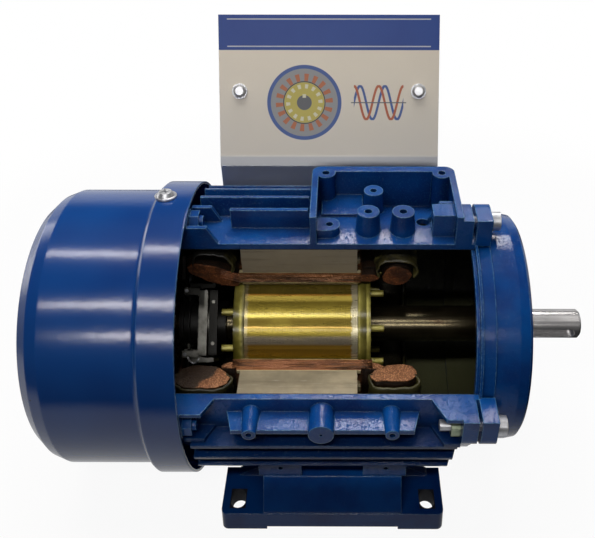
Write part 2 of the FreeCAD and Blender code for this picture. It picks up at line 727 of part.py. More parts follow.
# ---------- bearings ----------
def outer_race(x0):
    x1 = x0 + bearing_width
    a, b = x0 + groove_edge, x1 - groove_edge
    return turned([(x0, bearing_outer), (x0, race_outer), (a, race_outer), (a + 2, race_outer + 0.8),
                   (b - 2, race_outer + 0.8), (b, race_outer), (x1, race_outer), (x1, bearing_outer)])


def inner_race(x0):
    x1 = x0 + bearing_width
    a, b = x0 + groove_edge, x1 - groove_edge
    return turned([(x0, bearing_bore), (x0, race_inner), (a, race_inner), (a + 2, race_inner - 0.8),
                   (b - 2, race_inner - 0.8), (b, race_inner), (x1, race_inner), (x1, bearing_bore)])


def ball():
    """A ball at the top of the pitch circle, turned from a few straight lines."""
    points = []
    for i in range(ball_lines + 1):
        a = math.pi * i / ball_lines
        points.append(Vector(ball_radius * math.cos(a), 0, bearing_pitch + ball_radius * math.sin(a)))
    face = Part.Face(Part.makePolygon(points + points[:1]))
    return face.revolve(Vector(0, 0, bearing_pitch), axis_x, 360)


def ball_cage(x0):
    """A ribbon cage with a square pocket for each ball."""
    centre = x0 + bearing_width / 2
    cage = tube(centre - cage_half, centre + cage_half, bearing_pitch + 0.6, bearing_pitch - 0.6)
    reach = ball_radius + 0.1
    pockets = []
    balls = []
    for i in range(ball_count):
        angle = 360.0 / ball_count * i
        pocket = block(centre - reach, centre + reach, -reach, reach, bearing_pitch - 3, bearing_pitch + 3)
        pockets.append(at_angle(pocket, angle))
        placed = ball()
        placed.translate(Vector(centre, 0, 0))
        balls.append(at_angle(placed, angle))
    return Part.makeCompound([cut_all(cage, pockets)] + balls)


def shaft_seal():
    x0 = drive_bearing_x + bearing_width
    return turned([(x0 + 0.1, 12.95), (x0 + 0.1, 10.5), (x0 + 0.9, 9.0), (x0 + 0.9, 7.6), (x0 + 2.6, 7.6),
                   (x0 + 2.6, 12.95)])


def preload_washer():
    return tube(fan_bearing_x - 0.9, fan_bearing_x - 0.1, 17.2, 13.4)


# ---------- fan ----------
def fan():
    x0 = mid - 112.0
    hub = turned([(x0, 6.0), (x0, 10.5), (x0 + 13, 12.5), (mid - 92.0, 14.0), (mid - 92.0, 6.0)])
    disc = turned([(mid - 93.5, 13), (mid - 93.5, 40), (mid - 92.0, 57), (mid - 90.6, 57), (mid - 92.0, 40),
                   (mid - 92.0, 13)])
    shapes = [hub, disc]
    for i in range(9):
        blade = prism_y([(x0 + 2, 10), (x0 + 5, 50), (x0 + 8, 57), (mid - 91.6, 57), (mid - 92.4, 10)], -0.9, 0.9)
        shapes.append(at_angle(blade, 40.0 * i))
    return fuse_all(shapes)


def fan_clip():
    ring = tube(mid - 113.75, mid - 112.9, 8.6, 5.55)
    return ring.cut(block(mid - 115, mid - 112, -2, 2, 0, 10))


# ---------- centrifugal starting switch ----------
# Built at the top: Z is away from the shaft towards switch_angle and Y is the long side.
def plate_with_hole(x0, x1, half_y, half_z, hole):
    return block(x0, x1, -half_y, half_y, -half_z, half_z).cut(tube(x0 - 1, x1 + 1, hole))


def switch_carrier():
    """The sheet-metal base pressed on the shaft, with a rivet at each end of its folded edges."""
    x0, x1 = carrier_x
    reach = carrier_reach
    hub = tube(x1 - sheet, x1 + 4.0, 10.5, switch_bore)
    shapes = [hub, plate_with_hole(x1 - sheet, x1, carrier_half, reach, switch_bore)]
    for side in (-1, 1):
        z0, z1 = sorted((side * (reach - sheet), side * reach))
        shapes.append(block(x0, x1, -carrier_half, carrier_half, z0, z1))
        for y in (-9.8, 9.8):
            z0, z1 = sorted((side * (reach - 0.1), side * (reach + 0.7)))
            shapes.append(Part.makeCylinder(0.9, z1 - z0, Vector((x0 + x1) / 2, y, z0), Vector(0, 0, 1)))
    return at_angle(fuse_all(shapes), switch_angle)


def pivot_rod(end, radius, half):
    return Part.makeCylinder(radius, 2 * half, Vector(pivot_x, end * pivot_y, -half), Vector(0, 0, 1))


def switch_yoke():
    """The plate that carries the pivots, with an ear at each corner."""
    x0, x1 = yoke_x
    reach = carrier_reach
    shapes = [plate_with_hole(x1 - sheet, x1, carrier_half, reach, switch_bore)]
    shapes.append(tube(x1 - sheet, carrier_x[1] - sheet, 9.4, switch_bore))
    for side in (-1, 1):
        z0, z1 = sorted((side * (reach - sheet), side * reach))
        shapes.append(block(x0, x1, -carrier_half, carrier_half, z0, z1))
        for end in (-1, 1):
            y0, y1 = sorted((end * (pivot_reach - 3.4), end * pivot_reach))
            shapes.append(block(pivot_x - 1.4, x0 + 0.5, y0, y1, z0, z1))
    body = fuse_all(shapes)
    body = cut_all(body, [pivot_rod(end, pivot_radius, 15) for end in (-1, 1)])
    return at_angle(body, switch_angle)


def switch_pivots():
    pins = [pivot_rod(end, pivot_radius, carrier_reach + 0.4) for end in (-1, 1)]
    return at_angle(Part.makeCompound(pins), switch_angle)


def flyweight(end):
    """A bent weight: a plate, two cheeks on the pivot and a finger that moves the collar."""
    plate = block(pivot_x + 1.0, weight_end, weight_inner, weight_outer, -weight_half, weight_half)
    shapes = [plate]
    cheek = [(pivot_x - 0.9, pivot_y - 2.4), (pivot_x - 1.2, pivot_y + 1.2), (pivot_x + 1.0, weight_inner + 0.3),
             (weight_end - 4.0, weight_inner + 0.3), (pivot_x + 1.8, pivot_y - 1.2), (pivot_x + 0.5, pivot_y - 2.4)]
    for side in (-1, 1):
        z0, z1 = sorted((side * (weight_half - sheet), side * weight_half))
        outline = [Vector(x, y, z0) for x, y in cheek]
        shapes.append(Part.Face(Part.makePolygon(outline + outline[:1])).extrude(Vector(0, 0, z1 - z0)))
    half = sheet / 2
    shapes.append(block(pivot_x - half, pivot_x + half, pivot_y - 2.4, pivot_y - 1.1, -weight_half, weight_half))
    shapes.append(block(pivot_x - half, pivot_x + half, finger_tip, pivot_y - 2.3, -2.0, 2.0))
    body = fuse_all(shapes).cut(pivot_rod(1, pivot_radius + 0.05, 15))
    if end < 0:
        body = body.mirror(origin, Vector(0, 1, 0))
    return at_angle(body, switch_angle)


def switch_springs():
    """A coil round each end of both pivots, between the weight and the ear."""
    shapes = []
    for end in (-1, 1):
        for side in (-1, 1):
            z0, z1 = sorted((side * (weight_half + 0.1), side * (carrier_reach - sheet)))
            coil = Part.makeCylinder(1.7, z1 - z0, Vector(pivot_x, end * pivot_y, z0), Vector(0, 0, 1))
            shapes.append(coil.cut(pivot_rod(end, pivot_radius, 15)))
    return at_angle(Part.makeCompound(shapes), switch_angle)


def switch_collar():
    """The sliding sleeve, with a groove for the fingers of the weights."""
    bore = switch_bore + 0.06
    sleeve = 9.6
    front = groove_x[1] + sheet
    end = front + 3.8
    return turned([(collar_rear, bore), (collar_rear, collar_flange), (groove_x[0], collar_flange),
                   (groove_x[0], sleeve), (groove_x[1], sleeve), (groove_x[1], collar_flange),
                   (front, collar_flange), (front, sleeve), (end, sleeve), (end, bore)])


def contact_board():
    """Half-round insulating board, screwed flat on the inside of the fan-end shield."""
    x1 = board_x + board_sheet
    board = tube(board_x, x1, 34.0, 22.5).cut(block(board_x - 1, x1 + 1, -60, 60, -60, 6))
    holes = [at_angle(rod_x(board_x - 1, x1 + 1, 1.4, 0, board_screw_circle), a) for a in board_screw_angles]
    return cut_all(at_angle(board, board_angle), holes)


def board_screws():
    shapes = []
    x1 = board_x + board_sheet
    for turn in board_screw_angles:
        shank = rod_x(board_x - 3.4, x1 + 0.1, 1.2, 0, board_screw_circle)
        head = rod_x(x1, x1 + 1.4, 2.6, 0, board_screw_circle)
        shapes.append(at_angle(shank.fuse(head), turn))
    return Part.makeCompound(shapes)


def contact_arm():
    """A springy blade whose tip bears on the collar, with a contact pad on its back."""
    x0, x1 = arm_x
    arm = block(x0, x1, -2.2, 2.2, 10.2, arm_root + 2.0).cut(rod_x(x0 - 1, x1 + 1, 1.0, 0, arm_root))
    pad = rod_x(x0 - 0.25, x0 + 0.05, 1.6, 0, 25.0)
    return at_angle(arm.fuse(pad), board_angle)


def fixed_contacts():
    """The contact under the blade's pad, and the rivet and spacer that hold the blade's root."""
    front = board_x + board_sheet
    pad = rod_x(front, arm_x[0] - 0.3, 1.6, 0, 25.0)
    spacer = block(front, arm_x[0] - 0.15, -2.6, 2.6, arm_root - 1.4, arm_root + 2.4)
    rivet = rod_x(front, arm_x[1] + 0.6, 0.75, 0, arm_root)
    head = rod_x(arm_x[1] + 0.15, arm_x[1] + 0.6, 1.5, 0, arm_root)
    return at_angle(Part.makeCompound([pad, spacer.multiFuse([rivet, head])]), board_angle)


# ---------- sign ----------
def leaned(points_y0, points_z0, along, out):
    """A point on the leaning panel: along it from the bend, and out from its front face."""
    a = math.radians(sign_lean)
    return (points_y0 + along * math.sin(a) - out * math.cos(a), points_z0 + along * math.cos(a) + out * math.sin(a))


def panel_point(along, out):
    return leaned(boss_reach, sign_bend_z, along, out)


def sign_bracket():
    t = bracket_sheet
    back = boss_reach + t
    low = boss_height - 9.0
    a = math.radians(sign_lean)
    knee = t * math.tan(a / 2)
    profile = [(boss_reach, low), panel_point(0, 0), panel_point(sign_length, 0), panel_point(sign_length, -t),
               (back, sign_bend_z - knee), (back, low)]
    body = prism_x(profile, sign_mid - sign_width / 2, sign_mid + sign_width / 2)
    side_cut = []
    for side in (-1, 1):
        x_in = boss_mid_x + side * 41.0
        x_out = sign_mid + side * (sign_width / 2 + 1)
        x0, x1 = sorted((x_in, x_out))
        side_cut.append(block(x0, x1, boss_reach - 1, back + 1, low - 1, 16))
    body = cut_all(body, side_cut)
    for x in boss_x:
        body = body.cut(Part.makeCylinder(1.7, 10, Vector(x, boss_reach - 2, boss_height), Vector(0, 1, 0)))
    return cut_all(body, sign_holes(2.1))


def sign_holes(radius):
    a = math.radians(sign_lean)
    direction = Vector(0, -math.cos(a), math.sin(a))
    y, z = panel_point(sign_length / 2, -4)
    holes = []
    for side in (-1, 1):
        holes.append(Part.makeCylinder(radius, 9, Vector(sign_mid + side * 46.8, y, z), direction))
    return holes


def sign_label():
    profile = [panel_point(0.3, 0), panel_point(sign_length, 0), panel_point(sign_length, label_sheet),
               panel_point(0.3, label_sheet)]
    body = prism_x(profile, sign_mid - sign_width / 2, sign_mid + sign_width / 2)
    return cut_all(body, sign_holes(2.1))


def sign_bolts():
    a = math.radians(sign_lean)
    out = Vector(0, -math.cos(a), math.sin(a))
    shapes = []
    for side in (-1, 1):
        x = sign_mid + side * 46.8
        y, z = panel_point(sign_length / 2, label_sheet)
        washer = Part.makeCylinder(4.0, 0.8, Vector(x, y, z), out)
        y, z = panel_point(sign_length / 2, label_sheet + 0.8)
        head = Part.makeCone(3.4, 2.2, 2.0, Vector(x, y, z), out)
        y, z = panel_point(sign_length / 2, -bracket_sheet - 4.5)
        shank = Part.makeCylinder(1.95, bracket_sheet + 4.5 + label_sheet + 1, Vector(x, y, z), out)
        shapes.append(washer.multiFuse([head, shank]))
    return Part.makeCompound(shapes)


def sign_nuts():
    a = math.radians(sign_lean)
    shapes = []
    for side in (-1, 1):
        nut = hexagon_x(0, 3.2, 7.0, 0, 0).cut(tube(-1, 5, 2.0))
        nut.rotate(origin, Vector(0, 0, 1), -90)
        nut.rotate(origin, axis_x, -sign_lean)
        y, z = panel_point(sign_length / 2, -bracket_sheet - 3.2)
        nut.translate(Vector(sign_mid + side * 46.8, y, z))
        shapes.append(nut)
    return Part.makeCompound(shapes)


def bracket_screws():
    shapes = []
    for x in boss_x:
        back = boss_reach + bracket_sheet
        shank = Part.makeCylinder(bracket_hole - 0.05, 8.5, Vector(x, back - 8.0, boss_height), Vector(0, 1, 0))
        washer = Part.makeCylinder(3.5, 0.6, Vector(x, back, boss_height), Vector(0, 1, 0))
        head = Part.makeCylinder(2.75, 2.4, Vector(x, back + 0.6, boss_height), Vector(0, 1, 0))
        shapes.append(shank.multiFuse([washer, head]))
    return Part.makeCompound(shapes)


# ---------- write every piece ----------
save("motor_frame", frame())
save("foot_front", foot(-1))
save("foot_rear", foot(1))
save("foot_screws", foot_screws())
save("drive_end_shield", drive_end_shield())
save("fan_end_shield", fan_end_shield())
save("drive_end_bolts", shield_bolts(barrel_front + 6.8, 1, 23.4, 5.0))
save("drive_end_nuts", shield_nuts(barrel_front - lug_gap - 6.6 - 4.0, (0, 180, 270)))
save("fan_end_bolts", shield_bolts(fan_bolt_seat, -1, 18.2, 2.8))
save("fan_end_nuts", shield_nuts(barrel_rear + lug_gap + 8.0, (0, 90, 180, 270)))
save("fan_cowl", fan_cowl())
save("cowl_screws", cowl_screws())
save("stator_core", stator_core())
save("slot_liners", slot_liners())
save("slot_wedges", slot_wedges())
save("main_winding", main_winding())
save("auxiliary_winding", auxiliary_winding())
save("drive_end_insulation", end_insulation(mid + 21.0, mid + 40.2, 48.0, 50.6))
save("fan_end_insulation", end_insulation(mid - 48.5, mid - 68.8, 49.2, 52.4))
save("shaft", shaft())
save("rotor_core", rotor_core())
save("rotor_cage", rotor_cage())
save("drive_end_outer_race", outer_race(drive_bearing_x))
save("drive_end_inner_race", inner_race(drive_bearing_x))
save("drive_end_balls", ball_cage(drive_bearing_x))
save("fan_end_outer_race", outer_race(fan_bearing_x))
save("fan_end_inner_race", inner_race(fan_bearing_x))
save("fan_end_balls", ball_cage(fan_bearing_x))
save("shaft_seal", shaft_seal())
save("preload_washer", preload_washer())
save("cooling_fan", fan())
save("fan_clip", fan_clip())
save("switch_carrier", switch_carrier())
save("switch_yoke", switch_yoke())
save("switch_pivots", switch_pivots())
save("flyweight_upper", flyweight(1))
save("flyweight_lower", flyweight(-1))
save("switch_springs", switch_springs())
save("switch_collar", switch_collar())
save("contact_board", contact_board())
save("board_screws", board_screws())
save("contact_arm", contact_arm())
save("fixed_contacts", fixed_contacts())
save("sign_bracket", sign_bracket())
save("sign_label", sign_label())
save("sign_bolts", sign_bolts())
save("sign_nuts", sign_nuts())
save("bracket_screws", bracket_screws())
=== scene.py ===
import math
import random

import bmesh
import bpy
from mathutils import Euler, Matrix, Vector, noise


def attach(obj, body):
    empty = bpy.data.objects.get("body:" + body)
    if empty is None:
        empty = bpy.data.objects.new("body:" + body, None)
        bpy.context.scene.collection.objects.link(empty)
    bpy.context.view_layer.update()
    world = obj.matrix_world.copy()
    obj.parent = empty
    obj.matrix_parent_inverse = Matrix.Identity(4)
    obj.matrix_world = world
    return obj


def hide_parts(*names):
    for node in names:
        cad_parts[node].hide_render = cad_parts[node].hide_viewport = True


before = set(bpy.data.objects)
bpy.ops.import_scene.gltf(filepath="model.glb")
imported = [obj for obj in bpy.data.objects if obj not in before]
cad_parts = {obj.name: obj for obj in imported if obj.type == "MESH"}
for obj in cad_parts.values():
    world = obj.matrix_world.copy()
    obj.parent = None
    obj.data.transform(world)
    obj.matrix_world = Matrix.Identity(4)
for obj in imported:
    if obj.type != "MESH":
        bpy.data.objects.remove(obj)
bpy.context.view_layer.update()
print("frame loaded:", len(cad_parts), "nodes")

# All in metres. The shaft axis runs along X; the quarter in front of and above it is sawn out.
motor = {
    "axis": 0.071,  # height of the shaft axis
    "middle": -0.045,  # middle of the feet along the shaft
    "stack": 0.0145,  # the rotor and stator stacks sit this far to the fan side of it
    "cut": 0.0105,  # both sawn planes lie this far from the axis
    "frameBore": 0.0553,
    "shieldBore": 0.0526,
    "shieldWall": 0.083,
}


def tone(red, green, blue):
    # a tone in 0-255 steps as Blender's linear colour
    linear = [c / 3294.6 if c < 10.3 else ((c / 255 + 0.055) / 1.055) ** 2.4 for c in (red, green, blue)]
    return (linear[0], linear[1], linear[2], 1.0)


class Wire:
    # one socket in a sum: + - * / ** and comparisons add Math nodes
    def __init__(self, board, socket):
        self.board = board
        self.socket = socket

    def sum(self, operation, first, second=0.0):
        return self.board.node("ShaderNodeMath", {"operation": operation}, {0: first, 1: second})

    def __add__(self, other):
        return self.sum("ADD", self, other)

    def __radd__(self, other):
        return self.sum("ADD", other, self)

    def __sub__(self, other):
        return self.sum("SUBTRACT", self, other)

    def __rsub__(self, other):
        return self.sum("SUBTRACT", other, self)

    def __mul__(self, other):
        return self.sum("MULTIPLY", self, other)

    def __rmul__(self, other):
        return self.sum("MULTIPLY", other, self)

    def __truediv__(self, other):
        return self.sum("DIVIDE", self, other)

    def __rtruediv__(self, other):
        return self.sum("DIVIDE", other, self)

    def __pow__(self, other):
        return self.sum("POWER", self, other)

    def __abs__(self):
        return self.sum("ABSOLUTE", self)

    def __gt__(self, other):
        return self.sum("GREATER_THAN", self, other)

    def __lt__(self, other):
        return self.sum("LESS_THAN", self, other)

    def wave(self):
        return self.sum("SINE", self)

    def around(self, across):
        # the angle of a point that is this far up and that far across
        return self.sum("ARCTAN2", self, across)

    def most(self, other):
        return self.sum("MAXIMUM", self, other)

    def least(self, other):
        return self.sum("MINIMUM", self, other)


class Board:
    # a node tree with one way to add a node, feed a socket and blend
    def __init__(self, tree):
        self.tree = tree
        self.made = {}

    def node(self, kind, settings=None, sockets=None, output=0):
        made = self.tree.nodes.new(kind)
        for name, value in (settings or {}).items():
            if name == "stops":
                self.setStops(made.color_ramp.elements, value)
            else:
                setattr(made, name, value)
        for name, value in (sockets or {}).items():
            self.feed(made.inputs[name], value)
        return Wire(self, made.outputs[output])

    def setStops(self, marks, stops):
        # a new ramp has two marks already
        for index, (place, colour) in enumerate(stops):
            mark = marks[index] if index < 2 else marks.new(1.0)
            mark.position = place
            mark.color = colour

    def feed(self, socket, value):
        if isinstance(value, Wire):
            self.tree.links.new(value.socket, socket)
        else:
            socket.default_value = value

    def keep(self, name, maker):
        if name not in self.made:
            self.made[name] = maker()
        return self.made[name]

    def ease(self, value, low, high, start=0.0, end=1.0):
        return self.node("ShaderNodeMapRange", {"interpolation_type": "SMOOTHSTEP"},
                         {0: value, 1: low, 2: high, 3: start, 4: end})

    def ray(self, kind):
        return self.node("ShaderNodeLightPath", output=kind)


class Paint(Board):
    # a material with the motor's own coordinates at hand: x along the shaft from the middle of the feet,
    # y to the rear, z up from the shaft axis, radius and turn round the shaft
    def __init__(self, name):
        self.material = bpy.data.materials.new(name)
        self.material.use_nodes = True
        super().__init__(self.material.node_tree)
        self.shader = self.tree.nodes["Principled BSDF"]

    def dress(self, values):
        for name, value in values.items():
            self.feed(self.shader.inputs[name], value)
        return self.material

    @property
    def spot(self):
        return self.keep("spot", lambda: self.node("ShaderNodeTexCoord", output="Object"))

    def part(self, index):
        return self.keep(index, lambda: self.node("ShaderNodeSeparateXYZ", {}, {0: self.spot}, index))

    @property
    def x(self):
        return self.keep("x", lambda: self.part(0) - motor["middle"])

    @property
    def y(self):
        return self.part(1)

    @property
    def z(self):
        return self.keep("z", lambda: self.part(2) - motor["axis"])

    @property
    def along(self):
        # how far along the shaft from the middle of the stacks, either way
        return self.keep("along", lambda: abs(self.x + motor["stack"]))

    @property
    def radius(self):
        return self.keep("radius", lambda: (self.y * self.y + self.z * self.z) ** 0.5)

    @property
    def turn(self):
        return self.keep("turn", lambda: self.z.around(self.y))

    def stretched(self, stretch):
        if not stretch:
            return self.spot
        return self.node("ShaderNodeMapping", {}, {"Vector": self.spot, "Scale": stretch})

    def grain(self, scale, detail=3.0, rough=0.5, stretch=None):
        sockets = {"Vector": self.stretched(stretch), "Scale": scale, "Detail": detail, "Roughness": rough}
        return self.node("ShaderNodeTexNoise", {}, sockets)

    def cells(self, scale, stretch=None):
        return self.node("ShaderNodeTexVoronoi", {}, {"Vector": self.stretched(stretch), "Scale": scale})

    def mix(self, share, first, second):
        return self.node("ShaderNodeMix", {"data_type": "RGBA"}, {0: share, 6: first, 7: second}, 2)

    def over(self, under, upper, pattern, low, high, share=1.0):
        # the upper tone lies where the pattern is high, at most this share of it
        amount = self.ease(pattern, low, high)
        return self.mix(amount if share == 1.0 else amount * share, under, upper)

    def mottle(self, pattern, first, second):
        return self.over(first, second, pattern, 0.3, 0.7)

    def bump(self, height, distance, under=None):
        sockets = {"Height": height, "Distance": distance, "Strength": 1.0}
        if under:
            sockets["Normal"] = under
        return self.node("ShaderNodeBump", {}, sockets)

    def rounded(self, radius, samples=4):
        return self.node("ShaderNodeBevel", {"samples": samples}, {"Radius": radius})

    def daylight(self, reach):
        settings = {"samples": 4, "only_local": True}
        return self.node("ShaderNodeAmbientOcclusion", settings, {"Distance": reach}, 1)

    def edge(self, radius):
        # 1 on outer edges, where paint is worn thin; the light tone laid there also serves as a painted
        # highlight
        flat = self.node("ShaderNodeNewGeometry", output="True Normal")
        sockets = {0: self.rounded(radius, 6), 1: flat}
        bend = self.node("ShaderNodeVectorMath", {"operation": "DOT_PRODUCT"}, sockets, 1)
        return self.ease(bend, 0.985, 0.86) * self.ease(self.daylight(0.004), 0.55, 0.8)

    def nook(self, reach):
        # 1 deep between fins and in corners, where painted shade is laid
        return self.ease(self.daylight(reach), 0.7, 0.3)

    def sawnBack(self, outer, inner):
        # 1 on the upright sawn plane, which faces the front, and 0 beyond the outer distance from it
        return self.ease(abs(self.y + motor["cut"]), outer, inner)

    def sawnTop(self, outer, inner):
        # the same on the level sawn plane
        return self.ease(abs(self.z - motor["cut"]), outer, inner)


enamel = {
    "blue": tone(16, 72, 144),
    "deep": tone(11, 56, 124),
    "cast": tone(9, 76, 150),
    # lighter specks: worn paint on the sand grain, and a painted sparkle of highlights
    "wornAndSparkle": tone(52, 124, 184),
    # lighter edges: thin worn paint, and a painted highlight
    "edge": tone(112, 170, 206),
    # painted shade, laid in nooks and low down
    "under": tone(5, 24, 66),
    # dark chips, and the painted shade in the feet's slots
    "chipAndShade": tone(10, 14, 26),
    "thinEdge": 0.0009,
}
casting = {
    # scales of the patterns, the broadest first, and how much each raises the surface
    "broad": 55.0,
    "grit": 820.0,
    "sand": 1000.0,
    "fine": 1300.0,
    "broadLift": 0.5,
    "sandLift": 0.2,
    "fineLift": 0.16,
    "lift": 0.0006,
    "round": 0.0009,
    "nook": 0.02,
    "gloss": 0.06,
    "specular": 0.24,
    # the bore: oily all round, and lighter towards the bottom as painted light
    "oily": tone(32, 33, 25),
    "olive": tone(52, 54, 38),
    "litBoreFloor": tone(92, 94, 64),
    "boreSoft": 0.0002,
    # middles of the feet's slots along and across the shaft
    "slotX": 0.045,
    "slotY": 0.056,
}


def castEnamel(name, bore=None, wall=None, rough=1.0, matte=0.0, slots=False):
    # thick blue enamel over a sand casting, with painted shade in nooks and low down, and painted highlights
    # on edges and grain; inside the bore the bare casting is dark with oil and varnish, lighter at the bottom
    # as painted light
    paint = Paint(name)
    broad = paint.grain(casting["broad"])
    sand = paint.grain(casting["sand"], 3.0, 0.6)
    fine = paint.grain(casting["fine"], 3.0, 0.6)
    grit = paint.ease(paint.grain(casting["grit"], 3.0, 0.7), 0.40, 0.60)
    colour = paint.over(enamel["cast"], enamel["deep"], broad, 0.35, 0.7)
    # painted shade in nooks between fins and in corners
    colour = paint.mix(paint.nook(casting["nook"]) * 0.7, colour, enamel["under"])
    # lighter specks on the sand grain: worn paint, and a painted sparkle of highlights
    colour = paint.mix(paint.ease(sand, 0.5, 0.7) * (1 - grit) * 0.2 * rough, colour, enamel["wornAndSparkle"])
    # painted shade under the front shelf, on the lowest fins and on the feet
    paintedShade = paint.ease(paint.z, -0.001, -0.005) * paint.ease(paint.y, -0.054, -0.059)
    paintedShade = paintedShade.most(paint.ease(paint.z, -0.046, -0.054))
    colour = paint.mix(paintedShade * 0.55, colour, enamel["under"])
    # lighter outer edges: thin worn paint, and a painted highlight along them
    thin = paint.edge(enamel["thinEdge"]) * (0.25 + 0.6 * grit) * (1 - 0.75 * paintedShade)
    colour = paint.mix(thin, colour, enamel["edge"])
    roughness = casting["gloss"] + matte + 0.1 * grit * rough + 0.05 * broad
    if bore:
        inside = paint.ease(paint.radius, bore + casting["boreSoft"], bore - casting["boreSoft"])
        if wall:
            inside = inside * (paint.x < wall)
        oil = paint.over(casting["oily"], casting["olive"], paint.grain(90.0, 4.0), 0.40, 0.66)
        # painted light: the bore is lighter towards its bottom
        oil = paint.over(oil, casting["litBoreFloor"], paint.z, -0.012, -0.04, 0.7)
        colour = paint.mix(inside, colour, oil)
        roughness = roughness + inside * 0.2
    if slots:
        # painted shade: the walls of the feet's slots, where the paint is ragged, are darkened nearly to
        # black
        beside = paint.ease(abs(abs(paint.x) - casting["slotX"]), 0.0040, 0.0036)
        bare = beside * paint.ease(abs(abs(paint.y) - casting["slotY"]), 0.0055, 0.0051)
        colour = paint.mix(bare, colour, enamel["chipAndShade"])
        roughness = roughness + bare * 0.6
    height = paint.ease(sand, 0.53, 0.68) * casting["sandLift"] + fine * casting["fineLift"]
    height = height + broad * casting["broadLift"]
    return paint.dress({
        "Base Color": colour,
        "Roughness": roughness,
        "Specular IOR Level": casting["specular"],
        "Normal": paint.bump(height, casting["lift"] * rough, paint.rounded(casting["round"])),
    })


def smoothEnamel(name):
    # the pressed cowl: even gloss with a slight orange peel, faint dents, a few chips and a painted highlight
    # along its edges
    paint = Paint(name)
    broad = paint.grain(16.0, 2.0)
    peel = paint.grain(330.0, 2.0)
    chips = paint.ease(paint.cells(46.0), 0.024, 0.014) * paint.ease(paint.grain(30.0, 1.0), 0.5, 0.56)
    colour = paint.mottle(broad, enamel["blue"], enamel["deep"])
    colour = paint.mix(chips, colour, enamel["chipAndShade"])
    # painted highlight along the edges of the step, crease and lip
    colour = paint.mix(paint.edge(enamel["thinEdge"]) * 0.5, colour, enamel["edge"])
    return paint.dress({
        "Base Color": colour,
        "Roughness": 0.14 + 0.05 * broad,
        "Normal": paint.bump(peel * 0.05 + broad * 0.8 - chips * 0.1, 0.0008, paint.rounded(0.0012)),
    })


core = {
    "sheet": 0.0008,
    "ground": (tone(114, 105, 85), tone(146, 135, 110)),
    # painted light: a lighter tone for the upright sawn face, which faces the front
    "upright": tone(182, 172, 150),
    "streak": tone(86, 76, 58),
    "scratch": tone(176, 172, 158),
    "varnish": (tone(30, 26, 18), tone(48, 42, 30)),
}


def cutSteel(name):
    # laminated core: the sawn planes are ground smooth, the bore and slots stay dark with varnish
    paint = Paint(name)
    cutBack = paint.sawnBack(0.00025, 0.00012)
    sawnFace = cutBack.most(paint.sawnTop(0.00025, 0.00012))
    sheets = (paint.x * (math.tau / core["sheet"])).wave()
    streak = paint.grain(150.0, 4.0, 0.65, (0.16, 2.6, 2.6))
    fine = paint.grain(900.0, 3.0, 0.6, (0.12, 1.0, 1.0))
    blot = paint.grain(48.0, 4.0, 0.6)
    bright = paint.over(*core["ground"], blot, 0.32, 0.68)
    # painted light: the upright sawn face is given a lighter tone than the level one
    bright = paint.mix(cutBack * 0.5, bright, core["upright"])
    bright = paint.over(bright, core["streak"], streak, 0.5, 0.72, 0.45)
    bright = paint.over(bright, core["scratch"], fine, 0.6, 0.8, 0.4)
    dark = paint.over(*core["varnish"], sheets, -0.2, 0.8)
    return paint.dress({
        "Base Color": paint.mix(sawnFace, dark, bright),
        "Metallic": 0.2 + 0.3 * sawnFace,
        "Roughness": 0.42 + 0.2 * streak,
        "Normal": paint.bump(streak * 0.7 + fine * 0.4, 0.00014),
    })


copper = {
    # strands along the slots, then the cut ends above and below the opening, the varnish over them, and
    # painted shade on the turns behind
    "strand": (tone(66, 42, 22), tone(150, 98, 56)),
    # pale streaks along the strands: copper tone, and a painted highlight along the wires
    "streakAndGlint": tone(200, 144, 104),
    "rub": tone(150, 96, 66),
    "paper": tone(142, 138, 84),
    "upperCut": (tone(232, 140, 78), tone(126, 74, 40)),
    "upperBlot": tone(60, 36, 21),
    "lowerCut": (tone(196, 140, 96), tone(128, 83, 52)),
    "lowerBlot": tone(104, 60, 38),
    "skin": tone(31, 26, 19),
    "varnish": tone(50, 31, 19),
    # painted shade on the turns behind the section
    "hiddenTurnShade": tone(16, 13, 9),
}


